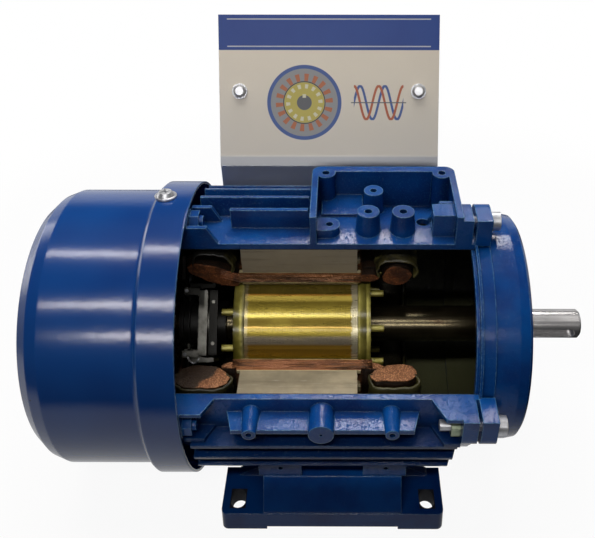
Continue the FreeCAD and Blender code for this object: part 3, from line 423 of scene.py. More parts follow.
def copperWire(name):
    # enamelled wire: strands along the slots, sawn ends as small bright specks in dark varnish
    paint = Paint(name)
    cutTop = paint.sawnTop(0.0006, 0.0003)
    sawnFace = paint.sawnBack(0.0006, 0.0003).most(cutTop)
    slot = paint.ease(paint.along, 0.0285, 0.0265)
    along = paint.grain(1000.0, 3.0, 0.6, (0.05, 1.0, 1.0))
    streakAndGlint = paint.grain(240.0, 4.0, 0.65, (0.3, 1.0, 1.0))
    ends = paint.cells(1900.0, (0.7, 1.0, 1.0))
    blot = paint.grain(150.0, 4.0, 0.65)
    strand = paint.over(*copper["strand"], along, 0.36, 0.64)
    # pale streaks along the strands: copper tone, and a painted highlight along the wires
    strand = paint.over(strand, copper["streakAndGlint"], streakAndGlint, 0.48, 0.7, 0.55)
    low = paint.ease(paint.z, 0.02, 0.012)
    strand = paint.mix(low * paint.ease(streakAndGlint, 0.34, 0.6) * 0.6, strand, copper["rub"])
    paper = (1 - low) * paint.ease(paint.z, 0.0354, 0.0351) + low * paint.ease(paint.y, -0.0349, -0.0346)
    strand = paint.mix(paper * 0.8, strand, copper["paper"])
    upper = paint.over(*copper["upperCut"], ends, 0.10, 0.34)
    upper = paint.over(upper, copper["upperBlot"], blot, 0.46, 0.62, 0.8)
    lower = paint.over(*copper["lowerCut"], ends, 0.2, 0.55)
    lower = paint.over(lower, copper["lowerBlot"], blot, 0.52, 0.7, 0.6)
    # the left cut is covered by a skin of dark varnish; copper shows only along its right side
    reach = paint.x * 0.8 - paint.y * 0.6 + (blot - 0.5) * 0.01
    lower = paint.mix(paint.ease(reach, -0.0148, -0.017) * (paint.x < -0.03) * 0.92, lower, copper["skin"])
    colour = paint.mix(sawnFace * (1 - slot), strand, paint.mix(cutTop, upper, lower))
    colour = paint.over(colour, copper["varnish"], paint.grain(70.0, 3.0, 0.6), 0.5, 0.7, 0.4)
    # painted shade: the turns that lie behind the section, deep in the case, are darkened nearly to black
    hiddenTurnShade = (1 - sawnFace) * (1 - slot) * paint.ease(paint.radius, 0.0362, 0.0376)
    return paint.dress({
        "Base Color": paint.mix(hiddenTurnShade * 0.92, colour, copper["hiddenTurnShade"]),
        "Metallic": 0.45,
        "Roughness": 0.36 + 0.2 * blot,
        "Normal": paint.bump(along * 0.7 + ends * 0.5 + blot * 0.6, 0.0004),
    })


cloth = {
    "olive": (tone(26, 24, 13), tone(84, 78, 38)),
    "thin": tone(112, 108, 56),
    "sleeve": tone(14, 13, 9),
    "low": tone(24, 24, 16),
    "wraps": 34.0,
}


def wrapTape(name):
    # varnished cloth tape and film round the end turns, dark olive with amber where it is thin
    paint = Paint(name)
    weave = paint.grain(800.0, 2.0, 0.5, (1.0, 1.0, 0.35))
    blot = paint.grain(120.0, 4.0, 0.6)
    wrap = (paint.turn * cloth["wraps"] + paint.grain(60.0, 2.0) * 3.0).wave()
    colour = paint.over(*cloth["olive"], blot, 0.34, 0.66)
    colour = paint.over(colour, cloth["thin"], wrap, 0.4, 0.9, 0.4)
    # the fan end's sleeve is black with varnish except for one strap
    sleeve = paint.ease(paint.x, -0.046, -0.0485) * paint.ease(paint.z, 0.0, 0.02)
    colour = paint.mix(sleeve, colour, cloth["sleeve"])
    return paint.dress({
        "Base Color": paint.over(colour, cloth["low"], paint.z, 0.02, 0.012, 0.45),
        "Roughness": 0.34 + 0.2 * weave,
        "Normal": paint.bump(weave * 0.5 + blot + wrap * 0.25, 0.0006),
    })


def slotPaper(name):
    paint = Paint(name)
    blot = paint.grain(200.0)
    return paint.dress({
        "Base Color": paint.mix(blot, tone(196, 186, 150), tone(150, 132, 84)),
        "Roughness": 0.55,
        "Normal": paint.bump(blot, 0.0001),
    })


rotorLook = {
    # tones of the varnish over the turned sheets and where it is rubbed to the metal, with painted highlights
    # and painted shade
    "plain": tone(122, 112, 44),
    "olive": tone(118, 104, 38),
    "deep": tone(108, 97, 36),
    "thin": tone(93, 81, 30),
    "amber": tone(168, 116, 42),
    "bright": tone(205, 183, 86),
    "stripHighlight": tone(170, 158, 80),
    "highlightLine": tone(196, 160, 92),
    "grey": tone(122, 114, 102),
    "brown": tone(128, 96, 28),
    "ochre": tone(160, 124, 44),
    "tan": tone(140, 112, 30),
    "moss": tone(132, 124, 40),
    # the bands it lies in, by turn round the shaft; both ends are plain, as the far side is. The bright band
    # near the top and the two light lines lower down are painted highlights along the shaft; the dark thin
    # bands at the top and between the lower highlights are painted shade
    "bands": [
        (1.60, "plain"), (1.94, "thin"), (1.99, "thin"), (2.01, "amber"), (2.035, "bright"),
        (2.075, "bright"), (2.11, "olive"), (2.25, "deep"), (2.29, "stripHighlight"), (2.33, "thin"),
        (2.425, "thin"), (2.437, "highlightLine"), (2.45, "olive"), (2.54, "deep"), (2.57, "grey"),
        (2.65, "grey"), (2.68, "brown"), (2.715, "ochre"), (2.73, "brown"), (2.82, "tan"),
        (2.86, "moss"), (3.14, "plain"),
    ],
    "streak": tone(104, 84, 28),
    "blot": tone(156, 144, 64),
    "fleck": tone(70, 52, 22),
    "rubbed": tone(158, 154, 136),
    "sheet": 0.0011,
    "tint": tone(255, 232, 150),
    "coatTint": tone(250, 232, 160),
}


def rotorSteel(name):
    # turned sheets under golden varnish, brown in places, rubbed to grey on one band and at the ends, with
    # painted highlights and painted shade in bands round the shaft
    paint = Paint(name)
    sheets = (paint.x * (math.tau / rotorLook["sheet"])).wave()
    blot = paint.grain(60.0, 4.0, 0.6)
    fleck = paint.grain(420.0, 4.0, 0.65, (0.45, 1.0, 1.0))
    streak = paint.grain(260.0, 4.0, 0.6, (0.12, 1.0, 1.0))
    bands = rotorLook["bands"]
    first, last = bands[0][0], bands[-1][0]
    stops = [((turn - first) / (last - first), rotorLook[shade]) for turn, shade in bands]
    place = (paint.turn + (streak - 0.5) * 0.03 - first) / (last - first)
    # the ramp paints highlights and shade in bands round the shaft over the varnish tones
    gold = paint.node("ShaderNodeValToRGB", {"stops": stops}, {0: place})
    gold = paint.over(gold, rotorLook["streak"], streak, 0.5, 0.74, 0.2)
    gold = paint.over(gold, rotorLook["blot"], blot, 0.5, 0.72, 0.25)
    gold = paint.over(gold, rotorLook["fleck"], fleck, 0.66, 0.74, 0.2)
    # most of the varnish is rubbed off at the drive end
    rubbed = paint.ease(paint.along + (fleck - 0.5) * 0.003, 0.0228, 0.0238) * (0.4 + 0.45 * (paint.x > 0))
    return paint.dress({
        "Base Color": paint.mix(rubbed, gold, rotorLook["rubbed"]),
        "Metallic": 0.6,
        "Roughness": 0.2 + 0.16 * streak,
        "Specular Tint": rotorLook["tint"],
        "Coat Weight": 0.15,
        "Coat Roughness": 0.12,
        "Coat Tint": rotorLook["coatTint"],
        "Normal": paint.bump(sheets * 0.2 + streak * 0.6 + fleck * 0.3, 0.00008),
    })


ringLook = {
    "varnish": (tone(122, 114, 38), tone(172, 162, 76)),
    "rim": tone(140, 134, 96),
    "middle": 0.0265,
    "half": 0.0025,
    "crown": 0.0011,
}


def castAluminium(name):
    # rotor end rings: cast aluminium under the same varnish, slightly crowned
    paint = Paint(name)
    blot = paint.grain(110.0, 4.0, 0.6)
    pits = paint.cells(420.0)
    colour = paint.mottle(blot, *ringLook["varnish"])
    reach = (paint.along - ringLook["middle"]) * (1 / ringLook["half"])
    crown = (1 - reach * reach).most(-1.0)
    worked = paint.bump(blot + pits * 0.3, 0.0004, paint.rounded(0.0016))
    return paint.dress({
        "Base Color": paint.over(colour, ringLook["rim"], paint.along, 0.0268, 0.0252, 0.6),
        "Metallic": 0.4,
        "Roughness": 0.3 + 0.2 * blot,
        "Coat Weight": 0.3,
        "Coat Roughness": 0.16,
        "Normal": paint.bump(crown, ringLook["crown"], worked),
    })


shaftLook = {
    "inner": (tone(64, 58, 42), tone(92, 84, 64)),
    "oil": tone(62, 44, 28),
    "outer": (tone(188, 187, 188), tone(208, 207, 208)),
    "seal": 0.089,
}


def shaftSteel(name):
    # turned steel: grey-brown with oil inside, polished outside the seal
    paint = Paint(name)
    rings = paint.grain(900.0, 2.0, 0.5, (1.0, 0.02, 0.02))
    rub = paint.grain(500.0, 3.0, 0.6, (0.1, 1.0, 1.0))
    blot = paint.grain(80.0, 4.0, 0.6)
    inner = paint.mottle(blot, *shaftLook["inner"])
    inner = paint.over(inner, shaftLook["oil"], paint.grain(160.0, 4.0, 0.6, (0.3, 1.0, 1.0)), 0.5, 0.74, 0.7)
    outer = paint.mottle(blot, *shaftLook["outer"])
    outside = paint.ease(paint.x, shaftLook["seal"], shaftLook["seal"] + 0.0015)
    height = rings * (1 - 0.8 * outside) + rub * 0.3
    return paint.dress({
        "Base Color": paint.mix(outside, inner, outer),
        "Metallic": 0.85,
        "Roughness": 0.16 + 0.06 * rings + 0.1 * rub,
        "Normal": paint.bump(height, 0.00004, paint.rounded(0.0004)),
    })


def brightSteel(name, dark=(142, 142, 144), light=(190, 190, 192), rough=0.3, metal=0.9):
    paint = Paint(name)
    blot = paint.grain(180.0, 4.0, 0.6)
    return paint.dress({
        "Base Color": paint.mottle(blot, tone(*dark), tone(*light)),
        "Metallic": metal,
        "Roughness": rough + 0.16 * blot,
        "Normal": paint.bump(paint.grain(1400.0) * 0.4 + blot, 0.0001, paint.rounded(0.0005)),
    })


switch = {
    # the plates face 44 degrees up from the front at rest; rivet heads stand out past this reach
    "angle": 44.0,
    "reach": 0.0106,
    # black oxide, also laid as painted shade on the light sheet's top
    "blackAndShade": (tone(20, 20, 19), tone(38, 37, 34)),
    "light": (tone(118, 117, 110), tone(166, 165, 158)),
}


def switchSheet(name, dark):
    # light worn steel or black oxide; rivet heads stay bright; the top of the light sheet and its upper ears
    # are near black as painted shade
    paint = Paint(name)
    blot = paint.grain(180.0, 4.0, 0.6)
    turn = math.radians(90 - switch["angle"])
    out = paint.z * math.cos(turn) - paint.y * math.sin(turn)
    blackAndShade = paint.mix(blot, *switch["blackAndShade"])
    light = paint.mottle(blot, *switch["light"])
    if dark:
        colour = paint.over(blackAndShade, light, out, switch["reach"] + 0.00004, switch["reach"] + 0.0001)
    else:
        # painted shade: the light sheet is near black at its top and on its upper ears
        ears = paint.ease(paint.z, 0.011, 0.014) * paint.ease(paint.x, -0.0612, -0.0622)
        colour = paint.mix(paint.ease(paint.z, 0.0225, 0.0245).most(ears) * 0.9, light, blackAndShade)
    return paint.dress({
        "Base Color": colour,
        "Metallic": 0.7,
        "Roughness": 0.34 + 0.16 * blot,
        "Normal": paint.bump(blot, 0.0001, paint.rounded(0.0004)),
    })


def sheetSteel(name):
    # the bracket: drawn zinc-coated sheet with faint rolling lines
    paint = Paint(name)
    roll = paint.grain(500.0, 3.0, 0.6, (0.06, 1.0, 1.0))
    return paint.dress({
        "Base Color": paint.mottle(paint.grain(26.0, 3.0, 0.6), tone(160, 166, 178), tone(190, 196, 206)),
        "Metallic": 0.55,
        "Roughness": 0.34 + 0.14 * roll,
        "Normal": paint.bump(roll, 0.00005, paint.rounded(0.0003)),
    })


sign = {
    # across from its middle and up the leaning plate from the bend, in millimetres
    "middle": -2.8,
    "lean": 29.0,
    "foot": (70.0, 47.5),
    "band": 60.1,
    "rules": (62.0, 75.9),
    "bare": 5.6,
    "roundel": (-13.0, 33.0),
    "waves": (26.0, 33.0),
    "waveLength": 13.0,
    "waveHeight": 8.5,
    "bandTones": (tone(12, 60, 144), tone(20, 68, 150)),
    "ruleTone": tone(196, 200, 210),
    "field": (tone(222, 216, 204), tone(240, 230, 212)),
    "haze": tone(228, 218, 202),
    "metal": tone(140, 142, 146),
    "inkBlue": tone(62, 92, 158),
    "inkRed": tone(184, 96, 60),
    "inkGrey": tone(96, 98, 104),
    "inkDark": tone(52, 50, 50),
    "inkSteel": tone(150, 152, 154),
    "inkCopper": tone(184, 108, 70),
    "inkGold": tone(196, 182, 88),
    "inkPale": tone(222, 218, 190),
}


def printedSign(name):
    # a printed sheet: blue band, warm grey field, a drawn section of a motor and two waves; no words
    paint = Paint(name)
    lean = math.radians(sign["lean"])
    across = paint.x * 1000 - sign["middle"]
    rear, top = paint.y * 1000 - sign["foot"][0], paint.z * 1000 - sign["foot"][1]
    up = rear * math.sin(lean) + top * math.cos(lean)

    def inside(value, low, high, soft=0.12):
        return paint.ease(value, low - soft, low + soft) * paint.ease(value, high + soft, high - soft)

    haze = paint.grain(30.0)
    fleck = paint.grain(1400.0, 2.0)
    bare = paint.ease(up, sign["bare"] + 0.5, sign["bare"] - 1.5)
    field = paint.over(*sign["field"], up, 8.0, 60.0)
    field = paint.over(field, sign["haze"], haze, 0.3, 0.7, 0.3)
    field = paint.mix(bare, field, sign["metal"])

    # the roundel: case, stator with its slots, rotor with its bars, shaft and key
    u, v = across - sign["roundel"][0], up - sign["roundel"][1]
    reach = (u * u + v * v) ** 0.5
    around = v.around(u)
    slots = inside(reach, 11.2, 15.0) * paint.ease((around * 18.0).wave(), 0.0, 0.25)
    bars = inside(reach, 7.4, 9.6) * paint.ease((around * 14.0 + 0.4).wave(), 0.1, 0.35)
    layers = [
        (inside(reach, 0.0, 19.5), "inkBlue"),
        (inside(reach, 0.0, 17.6), "inkSteel"),
        (slots, "inkCopper"),
        (inside(reach, 10.6, 11.1), "inkDark"),
        (inside(reach, 0.0, 10.5), "inkGold"),
        (bars, "inkPale"),
        (inside(reach, 0.0, 3.9), "inkGrey"),
        (inside(u, -0.9, 0.9) * inside(v, 2.5, 4.4), "inkPale"),
    ]

    # two waves a quarter turn apart on one line
    s, t = across - sign["waves"][0], up - sign["waves"][1]
    span = inside(s, -13.0, 13.0, 0.05)
    pitch = math.tau / sign["waveLength"]
    for shift, ink in ((0.0, "inkBlue"), (math.pi / 2, "inkRed")):
        curve = (s * pitch + shift).wave() * sign["waveHeight"]
        slope = (s * pitch + shift + math.pi / 2).wave() * 4.1
        away = abs(t - curve) / ((slope * slope + 1.0) ** 0.5)
        layers.append((span * paint.ease(away, 0.75, 0.5), ink))
    layers.append((inside(s, -14.5, 14.5, 0.05) * paint.ease(abs(t), 0.32, 0.2), "inkGrey"))
    for share, ink in layers:
        field = paint.mix(share, field, sign[ink])

    low, high = (inside(up, rule - 0.3, rule + 0.3, 0.1) for rule in sign["rules"])
    blue = paint.mottle(haze, *sign["bandTones"])
    blue = paint.mix(low.most(high) * inside(across, -53.0, 53.0), blue, sign["ruleTone"])
    return paint.dress({
        "Base Color": paint.over(field, blue, up, sign["band"] - 0.15, sign["band"] + 0.15),
        "Metallic": 0.05 + 0.6 * bare,
        "Specular IOR Level": 0.35,
        "Roughness": 0.38 + 0.12 * fleck,
        "Normal": paint.bump(fleck * 0.3 + haze, 0.00008, paint.rounded(0.0003)),
    })


def plastic(name, dark, light, rough=0.45):
    paint = Paint(name)
    blot = paint.grain(150.0)
    fine = paint.grain(1100.0)
    return paint.dress({
        "Base Color": paint.mottle(blot, tone(*dark), tone(*light)),
        "Roughness": rough + 0.15 * fine,
        "Normal": paint.bump(fine + blot, 0.00012, paint.rounded(0.0005)),
    })


finishes = {
    "frameEnamel": castEnamel("frameEnamel", motor["frameBore"]),
    "shieldEnamel": castEnamel("shieldEnamel", motor["shieldBore"], motor["shieldWall"], 0.35, 0.03),
    "footEnamel": castEnamel("footEnamel", rough=0.15, slots=True),
    "cowlEnamel": smoothEnamel("cowlEnamel"),
    "boltEnamel": castEnamel("boltEnamel", rough=0.2),
    "coreSteel": cutSteel("coreSteel"),
    "copperWire": copperWire("copperWire"),
    "wrapTape": wrapTape("wrapTape"),
    "slotPaper": slotPaper("slotPaper"),
    "rotorSteel": rotorSteel("rotorSteel"),
    "castAluminium": castAluminium("castAluminium"),
    "shaftSteel": shaftSteel("shaftSteel"),
    "zincPlate": brightSteel("zincPlate", (176, 178, 184), (220, 222, 226), 0.26, 0.6),
    "nutPlate": brightSteel("nutPlate", (120, 132, 112), (176, 184, 160), 0.32),
    "bearingSteel": brightSteel("bearingSteel", (150, 150, 150), (188, 188, 188), 0.18),
    "switchPlate": switchSheet("switchPlate", False),
    "switchDark": switchSheet("switchDark", True),
    "sheetSteel": sheetSteel("sheetSteel"),
    "printedSign": printedSign("printedSign"),
    "blackPlastic": plastic("blackPlastic", (20, 20, 20), (38, 38, 36), 0.4),
    "boardBrown": plastic("boardBrown", (58, 34, 20), (92, 58, 34), 0.5),
    "fanPlastic": plastic("fanPlastic", (26, 27, 30), (44, 45, 48), 0.5),
    "sealRubber": plastic("sealRubber", (22, 22, 22), (36, 36, 36), 0.6),
    "fibreWedge": plastic("fibreWedge", (150, 128, 84), (184, 164, 116), 0.6),
}
wears = {
    "frameEnamel": ["motor_frame"],
    "shieldEnamel": ["drive_end_shield", "fan_end_shield"],
    "footEnamel": ["foot_front", "foot_rear"],
    "cowlEnamel": ["fan_cowl"],
    "boltEnamel": ["foot_screws", "fan_end_bolts", "fan_end_nuts", "bracket_screws"],
    "coreSteel": ["stator_core"],
    "copperWire": ["main_winding", "auxiliary_winding"],
    "wrapTape": ["drive_end_insulation", "fan_end_insulation"],
    "slotPaper": ["slot_liners"],
    "rotorSteel": ["rotor_core"],
    "castAluminium": ["rotor_cage"],
    "shaftSteel": ["shaft"],
    "zincPlate": ["drive_end_bolts", "cowl_screws", "preload_washer", "fan_clip", "switch_pivots",
                  "switch_springs", "board_screws", "contact_arm", "fixed_contacts",
                  "sign_bolts", "sign_nuts"],
    "nutPlate": ["drive_end_nuts"],
    "bearingSteel": ["drive_end_outer_race", "drive_end_inner_race", "drive_end_balls",
                     "fan_end_outer_race", "fan_end_inner_race", "fan_end_balls"],
    "switchPlate": ["switch_yoke", "flyweight_lower"],
    # the upper flyweight wears the dark finish as painted shade; the lower one stays light
    "switchDark": ["switch_carrier", "flyweight_upper"],
    "sheetSteel": ["sign_bracket"],
    "printedSign": ["sign_label"],
    "blackPlastic": ["switch_collar"],
    "boardBrown": ["contact_board"],
    "fanPlastic": ["cooling_fan"],
    "sealRubber": ["shaft_seal"],
    "fibreWedge": ["slot_wedges"],
}
finishOf = {node: finishes[finish] for finish, nodes in wears.items() for node in nodes}
for node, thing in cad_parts.items():
    if thing.material_slots:
        for place in thing.material_slots:
            place.material = finishOf[node]
    else:
        thing.data.materials.append(finishOf[node])
print("finishes on", len(finishOf), "nodes")


# Sections of the rings of wire and of the tape round them, in millimetres. Each row is a turn from the top
# over the rear, then the section there: x and radius of its middle, half its width and height, and tilt.
coils = {
    "driveEnd": [
        (-16, 29.2, 40.3, 6.5, 4.9, 0.05),
        (40, 28.0, 42.2, 7.5, 4.9, 0.0),
        (230, 28.0, 43.0, 8.5, 4.9, 0.0),
        (286, 27.6, 44.1, 10.6, 4.9, -0.13),
    ],
    "fanEnd": [
        (-16, -53.0, 40.6, 12.8, 4.2, -0.34),
        (30, -54.0, 42.0, 10.0, 4.4, -0.3),
        (230, -55.5, 44.5, 10.8, 5.6, 0.0),
        (286, -56.2, 46.4, 11.6, 7.0, 0.0),
    ],
    "driveNeck": [(-16, 16.4, 39.1, 5.2, 1.7, 0.1), (286, 17.0, 39.4, 6.5, 1.8, 0.2)],
    "fanNeck": [(-16, -43.8, 38.4, 4.2, 1.7, -0.3), (286, -44.6, 39.3, 4.5, 1.9, -0.2)],
    "coreEnds": (-42.0, 13.0),  # the bars in the slots end here along the shaft
    "span": (-26, 296),  # turns that a ring is spun through before it is sawn
    "spun": 40,  # radius that it is spun at
    "around": 28,
    "steps": 150,
    "lump": 0.8,
    "neckLump": 1.4,
    "lumpScale": (0.10, 0.22),  # how fast the lumps change with the turn and across the section
    "pressed": 262,  # from this turn on the case presses the ring flat
    "largest": 54.2,
}
tape = {
    "driveEnd": [
        (-16, 29.0, 42.3, 9.2, 6.3, 0.0),
        (40, 28.5, 43.4, 9.6, 6.2, 0.0),
        (230, 28.0, 45.5, 10.6, 6.8, 0.0),
        (286, 27.3, 46.9, 10.9, 6.3, 0.0),
    ],
    "fanEnd": [
        (-16, -53.0, 46.0, 9.0, 6.0, -0.3),
        (30, -55.0, 46.0, 10.5, 6.6, -0.2),
        (230, -56.0, 47.0, 11.6, 6.9, 0.0),
        (286, -56.2, 47.2, 12.4, 7.3, 0.0),
    ],
    "arc": (-0.5, math.pi + 0.5),  # the part of the section that it covers
    "thick": 0.0009,
}
touching = 1e-6  # points this near are one


def mm(x, y, z):
    # millimetres from the middle of the feet and the shaft axis, as a place in metres
    return Vector((x / 1000 + motor["middle"], y / 1000, z / 1000 + motor["axis"]))


def makePiece(name, deck, finish, body, stands=(), smooth=True):
    bmesh.ops.remove_doubles(deck, verts=deck.verts, dist=touching)
    bmesh.ops.recalc_face_normals(deck, faces=deck.faces)
    mesh = bpy.data.meshes.new(name)
    deck.to_mesh(mesh)
    deck.free()
    if smooth:
        for face in mesh.polygons:
            face.use_smooth = True
    piece = bpy.data.objects.new(name, mesh)
    bpy.context.scene.collection.objects.link(piece)
    mesh.materials.append(finishes[finish])
    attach(piece, body)
    if stands:
        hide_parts(*stands)
    return piece


def sectionAt(table, turn):
    # the section between the two nearest turns in a table
    if turn <= table[0][0]:
        return table[0][1:]
    for low, high in zip(table, table[1:]):
        if turn <= high[0]:
            share = (turn - low[0]) / (high[0] - low[0])
            share = share * share * (3 - 2 * share)
            return [a + (b - a) * share for a, b in zip(low[1:], high[1:])]
    return table[-1][1:]


def turnOf(place):
    # degrees from the top over the rear, -60 to 300
    degrees = math.degrees(math.atan2(place.y, place.z - motor["axis"]))
    return degrees if degrees > -60 else degrees + 360


def spunRing(table, lump, arc=None):
    # a ring of round section spun about the shaft, then shaped by the table; an arc leaves the section open
    deck = bmesh.new()
    count = coils["around"]
    first, last = coils["span"]
    low, high = arc or (0.0, math.tau)
    turnScale, acrossScale = coils["lumpScale"]
    start = math.radians(first)
    loop = []
    for i in range(count + 1 if arc else count):
        a = low + (high - low) * i / count
        x, r = math.cos(a), coils["spun"] + math.sin(a)
        loop.append(deck.verts.new(mm(x, r * math.sin(start), r * math.cos(start))))
    edges = [deck.edges.new(pair) for pair in zip(loop, loop[1:])]
    if not arc:
        edges.append(deck.edges.new((loop[-1], loop[0])))
    bmesh.ops.spin(deck, geom=loop + edges, cent=mm(0, 0, 0), axis=(-1, 0, 0),
                   angle=math.radians(last - first), steps=coils["steps"], use_merge=False)
    for vert in deck.verts:
        turn = turnOf(vert.co)
        x = (vert.co.x - motor["middle"]) * 1000
        r = math.hypot(vert.co.y, vert.co.z - motor["axis"]) * 1000 - coils["spun"]
        cx, cr, hx, hr, tilt = sectionAt(table, turn)
        u, v = x * hx, r * hr
        u, v = u * math.cos(tilt) - v * math.sin(tilt), u * math.sin(tilt) + v * math.cos(tilt)
        seed = Vector((turn * turnScale, (cx + u) * acrossScale, (cr + v) * acrossScale))
        grow = 1 + lump * 0.16 * noise.noise(seed) + lump * 0.10 * noise.noise(seed * 3.1)
        if turn > coils["pressed"]:
            v = min(v, hr * 0.8)
        place = math.radians(turn)
        radius = min(cr + v * grow, coils["largest"])
        vert.co = mm(cx + u * grow, radius * math.sin(place), radius * math.cos(place))
    return deck


def closeCut(deck, found):
    # fills what a cut leaves open, and gives the edges of the cut and its new faces
    rim = [part for part in found["geom_cut"] if isinstance(part, bmesh.types.BMEdge)]
    return rim, bmesh.ops.holes_fill(deck, edges=rim, sides=0)["faces"]


def sawn(deck, fill=True):
    # both sawn planes end a ring, and the cut faces are closed
    planes = [(mm(0, -motor["cut"] * 1000, 0), Vector((0, -1, 0)), lambda turn: turn < 90),
              (mm(0, 0, motor["cut"] * 1000), Vector((0, 0, 1)), lambda turn: turn > 180)]
    for place, outward, here in planes:
        faces = [face for face in deck.faces if here(turnOf(face.calc_center_median()))]
        edges = {edge for face in faces for edge in face.edges}
        verts = {vert for face in faces for vert in face.verts}
        found = bmesh.ops.bisect_plane(deck, geom=[*verts, *edges, *faces], plane_co=place,
                                       plane_no=outward, clear_outer=True)
        if fill:
            rim, cut = closeCut(deck, found)
            for edge in rim:
                edge.smooth = False
            for face in cut:
                face.smooth = False
    return deck


def joined(decks):
    whole = bmesh.new()
    for deck in decks:
        mesh = bpy.data.meshes.new("part")
        deck.to_mesh(mesh)
        deck.free()
        whole.from_mesh(mesh)
        bpy.data.meshes.remove(mesh)
    return whole


def wireDeck(points, radius):
    # one wire of six sides through a few points, swept as a smooth curve
    line = bpy.data.curves.new("wire", "CURVE")
    line.dimensions = "3D"
    line.bevel_depth = radius / 1000
    line.bevel_resolution = 1
    line.resolution_u = 3
    line.use_fill_caps = True
    path = line.splines.new("NURBS")
    path.points.add(len(points) - 1)
    for knot, place in zip(path.points, points):
        knot.co = (*mm(*place), 1)
    path.order_u = 3
    path.use_endpoint_u = True
    holder = bpy.data.objects.new("wire", line)
    bpy.context.scene.collection.objects.link(holder)
    mesh = bpy.data.meshes.new_from_object(holder.evaluated_get(bpy.context.evaluated_depsgraph_get()))
    deck = bmesh.new()
    deck.from_mesh(mesh)
    bpy.data.objects.remove(holder)
    bpy.data.curves.remove(line)
    bpy.data.meshes.remove(mesh)
    return deck


def slotBars():
    # the bars in the slots are the CAD windings between the ends of the core
    decks = []
    for node in ("main_winding", "auxiliary_winding"):
        deck = bmesh.new()
        deck.from_mesh(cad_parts[node].data)
        bmesh.ops.remove_doubles(deck, verts=deck.verts, dist=touching)
        for x, side in zip(coils["coreEnds"], (-1, 1)):
            whole = deck.verts[:] + deck.edges[:] + deck.faces[:]
            closeCut(deck, bmesh.ops.bisect_plane(deck, geom=whole, plane_co=mm(x, 0, 0),
                                                  plane_no=(side, 0, 0), clear_outer=True))
        decks.append(deck)
    return joined(decks)


strands = {
    "seed": 7,
    "count": 12,
    "knots": 8,
    "inner": 34.9,
    "deep": 4.6,  # how far the layer reaches out from the inner radius
    "radius": 0.36,
    "upperRadius": 0.288,
    "wander": 0.4,
    # where they start along the shaft, how far they run, the sawn plane they lie on and how far they differ
    "upper": (-43.0, 56.0, -10.45, 0.2),
    "lower": (-44.0, 62.0, 10.42, 0.35),
    "tail": (-49.5, -10.4, 3.4),  # an upper wire's fan end: x, y and how far outside its own radius
}


def looseStrands():
    # wires that lie bare along the two sawn slots and out into the end turns
    pick = random.Random(strands["seed"])
    upper, lower = [], []
    last = strands["knots"] - 1
    for i in range(strands["count"]):
        r = strands["inner"] + strands["deep"] * (i + 0.5) / strands["count"]
        wander = [pick.uniform(-strands["wander"], strands["wander"]) for _ in range(strands["knots"])]
        start, run, plane, differ = strands["upper"]
        points = [(start + run * k / last, plane + differ * pick.random(), r + wander[k] * 0.6)
                  for k in range(strands["knots"])]
        x, y, rise = strands["tail"]
        points.insert(0, (x - pick.random() * 2, y, r + rise + wander[0]))
        upper.append(wireDeck(points, strands["upperRadius"]))
        start, run, plane, differ = strands["lower"]
        points = [(start + run * k / last, -(r + wander[-k] * 1.3), plane + differ * pick.random())
                  for k in range(strands["knots"])]
        lower.append(wireDeck(points, strands["radius"]))
    return joined(upper), joined(lower)


hook = {
    "radius": 0.4,
    "points": [
        (-64.6, -33.0, 10.6), (-64.2, -33.6, 8.6), (-62.6, -33.6, 6.9),
        (-60.8, -33.6, 7.6), (-59.6, -33.2, 9.8),
    ],
}

makePiece("slotBars", slotBars(), "copperWire", "motor", ("main_winding", "auxiliary_winding"), smooth=False)
for end, wrapped in (("drive", "drive_end_insulation"), ("fan", "fan_end_insulation")):
    ring = sawn(spunRing(coils[end + "End"], coils["lump"]))
    makePiece(end + "EndCoils", ring, "copperWire", "motor", ("main_winding",))
    neck = sawn(spunRing(coils[end + "Neck"], coils["neckLump"]))
    makePiece(end + "EndNeck", neck, "copperWire", "motor", ("main_winding",))
    sleeve = sawn(spunRing(tape[end + "End"], coils["lump"], tape["arc"]), fill=False)
    piece = makePiece(end + "EndTape", sleeve, "wrapTape", "motor", (wrapped,))
    wall = piece.modifiers.new("thickness", "SOLIDIFY")
    wall.thickness = tape["thick"]
    wall.offset = 0
upperWires, lowerWires = looseStrands()
makePiece("upperStrands", upperWires, "copperWire", "motor")
makePiece("lowerStrands", lowerWires, "copperWire", "motor")
makePiece("switchHook", wireDeck(hook["points"], hook["radius"]), "zincPlate", "rotor")
print("windings made")


studio = {
    "floor": (-0.05, 0.0, 0.40),  # x and y of its middle, and radius
    "paper": tone(230, 230, 232),
    "bounce": tone(90, 90, 92),
    "floorShare": 0.93,
    "floorShine": 0.64,
    "floorNear": 0.16,  # half the length of the strip that shiny surfaces see bright
    "ambient": 0.04,
    "shine": 0.05,
    "backdrop": 0.7,
    "warm": (1.0, 0.97, 0.94),
    # x, y, z, length along the shaft, width, power, then whether it lights matt and shiny surfaces
    "lamps": {
        "rearStrip": (-0.24, 0.18, 1.22, 0.76, 0.075, 3.7, False, True),
        "topStrip": (-0.24, -0.66, 1.08, 0.76, 0.075, 4.1, True, True),
        "frontStrip": (-0.16, -1.02, 0.73, 0.75, 0.065, 4.0, False, True),
        "backBox": (-0.008, 0.68, 1.05, 0.12, 0.34, 5.6, False, True),
        "rightBox": (0.235, 0.75, 0.93, 0.12, 0.34, 2.3, False, True),
        "shaftBox": (0.46, -0.1, 1.1, 0.25, 0.9, 0.8, False, True),
        "leftBox": (-1.0, 0.5, 0.25, 0.5, 0.5, 2.2, False, True),
        "overhead": (-0.2, 0.5, 1.45, 1.2, 1.2, 21.0, True, False),
    },
}
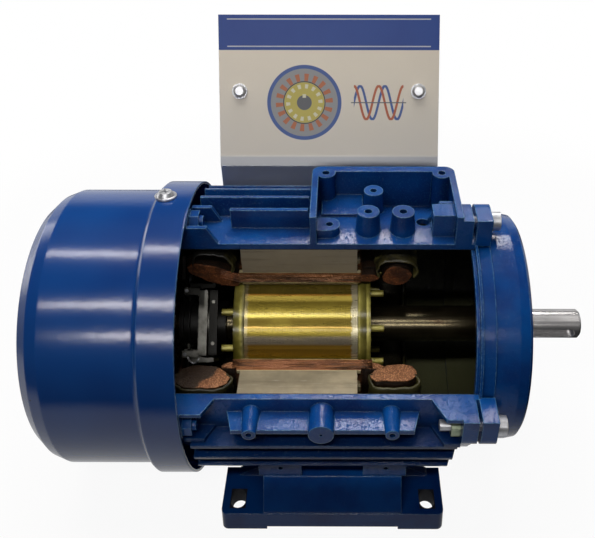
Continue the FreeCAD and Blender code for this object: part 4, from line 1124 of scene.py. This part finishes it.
camera = {
    "place": (-0.03867, -0.26915, 0.32892),
    "pitch": 54.48,
    "yaw": 0.17,
    "lens": 45.37,
    "sensor": 36,
    "shiftX": -0.07894,
    "shiftY": -0.0924,
}


def makeFloor():
    # a round pale table top; it fades to white at its edge, where the backdrop goes on
    x, y, radius = studio["floor"]
    deck = bmesh.new()
    bmesh.ops.create_circle(deck, cap_ends=True, segments=96, radius=radius)
    bmesh.ops.translate(deck, verts=deck.verts, vec=(x, y, 0))
    mesh = bpy.data.meshes.new("studioFloor")
    deck.to_mesh(mesh)
    deck.free()
    floor = bpy.data.objects.new("studioFloor", mesh)
    bpy.context.scene.collection.objects.link(floor)
    paint = Paint("floorPaper")
    seen = paint.ray("Is Camera Ray")
    mirrored = paint.ray("Is Glossy Ray") + paint.ray("Is Transmission Ray")
    paint.dress({"Base Color": paint.mix(seen, studio["bounce"], studio["paper"]), "Roughness": 0.9})
    across = paint.part(0) - x
    away = (across * across + paint.y * paint.y) ** 0.5
    faded = paint.ease(away, radius * 0.7, radius * 0.98, studio["floorShare"], 1.0)
    # shiny surfaces see it bright near the motor only, and dark past the drive end
    beside = (abs(across) - studio["floorNear"]).most(0.0)
    near = paint.ease((beside * beside + paint.y * paint.y) ** 0.5, 0.3, 0.19)
    near = near * paint.ease(across, 0.15, 0.08)
    strength = 1 + mirrored * (near * studio["floorShine"] - 1)
    glow = paint.node("ShaderNodeEmission", {}, {"Color": (1, 1, 1, 1), "Strength": strength})
    share = (seen * faded + mirrored).least(1.0)
    paper = Wire(paint, paint.shader.outputs[0])
    blend = paint.node("ShaderNodeMixShader", {}, {0: share, 1: paper, 2: glow})
    paint.feed(paint.tree.nodes["Material Output"].inputs["Surface"], blend)
    mesh.materials.append(paint.material)


def makeWorld():
    # white to the camera; shiny surfaces see a pale backdrop behind the motor and a dim room elsewhere
    world = bpy.data.worlds.new("studioWorld")
    bpy.context.scene.world = world
    world.use_nodes = True
    board = Board(world.node_tree)
    heading = board.node("ShaderNodeTexCoord", output="Generated")
    rear = board.node("ShaderNodeSeparateXYZ", {}, {0: heading}, 1)
    up = board.node("ShaderNodeSeparateXYZ", {}, {0: heading}, 2)
    backdrop = board.ease(rear, 0.0, 0.5) * board.ease(up, 0.42, 0.12) * studio["backdrop"]
    mirrored = (board.ray("Is Glossy Ray") + board.ray("Is Transmission Ray")).least(1.0)
    strength = mirrored * (backdrop + studio["shine"]) + (1 - mirrored) * studio["ambient"]
    back = board.tree.nodes["Background"]
    board.feed(back.inputs["Strength"], strength.most(board.ray("Is Camera Ray")))
    board.feed(back.inputs["Color"], (1, 1, 1, 1))


def makeLamps():
    for name, (x, y, z, length, width, power, matt, shiny) in studio["lamps"].items():
        lamp = bpy.data.lights.new(name, "AREA")
        lamp.shape = "RECTANGLE"
        lamp.size = length
        lamp.size_y = width
        lamp.energy = power
        lamp.color = studio["warm"]
        holder = bpy.data.objects.new(name, lamp)
        bpy.context.scene.collection.objects.link(holder)
        holder.location = (x, y, z)
        # each points square at the axis, the one far to the left at the motor's middle
        aim = Vector((motor["middle"] if x < -0.5 else x, 0, motor["axis"]))
        holder.rotation_euler = (aim - Vector((x, y, z))).to_track_quat("-Z", "Y").to_euler()
        holder.visible_diffuse = matt
        holder.visible_glossy = shiny


def makeCamera():
    lens = bpy.data.cameras.new("studioCamera")
    lens.lens = camera["lens"]
    lens.sensor_width = camera["sensor"]
    lens.shift_x = camera["shiftX"]
    lens.shift_y = camera["shiftY"]
    lens.clip_start = 0.01
    holder = bpy.data.objects.new("studioCamera", lens)
    bpy.context.scene.collection.objects.link(holder)
    holder.location = camera["place"]
    holder.rotation_euler = Euler((math.radians(camera["pitch"]), 0, math.radians(camera["yaw"])))
    bpy.context.scene.camera = holder


makeFloor()
makeWorld()
makeLamps()
makeCamera()
bpy.context.scene.view_settings.view_transform = "Standard"
print("studio ready")
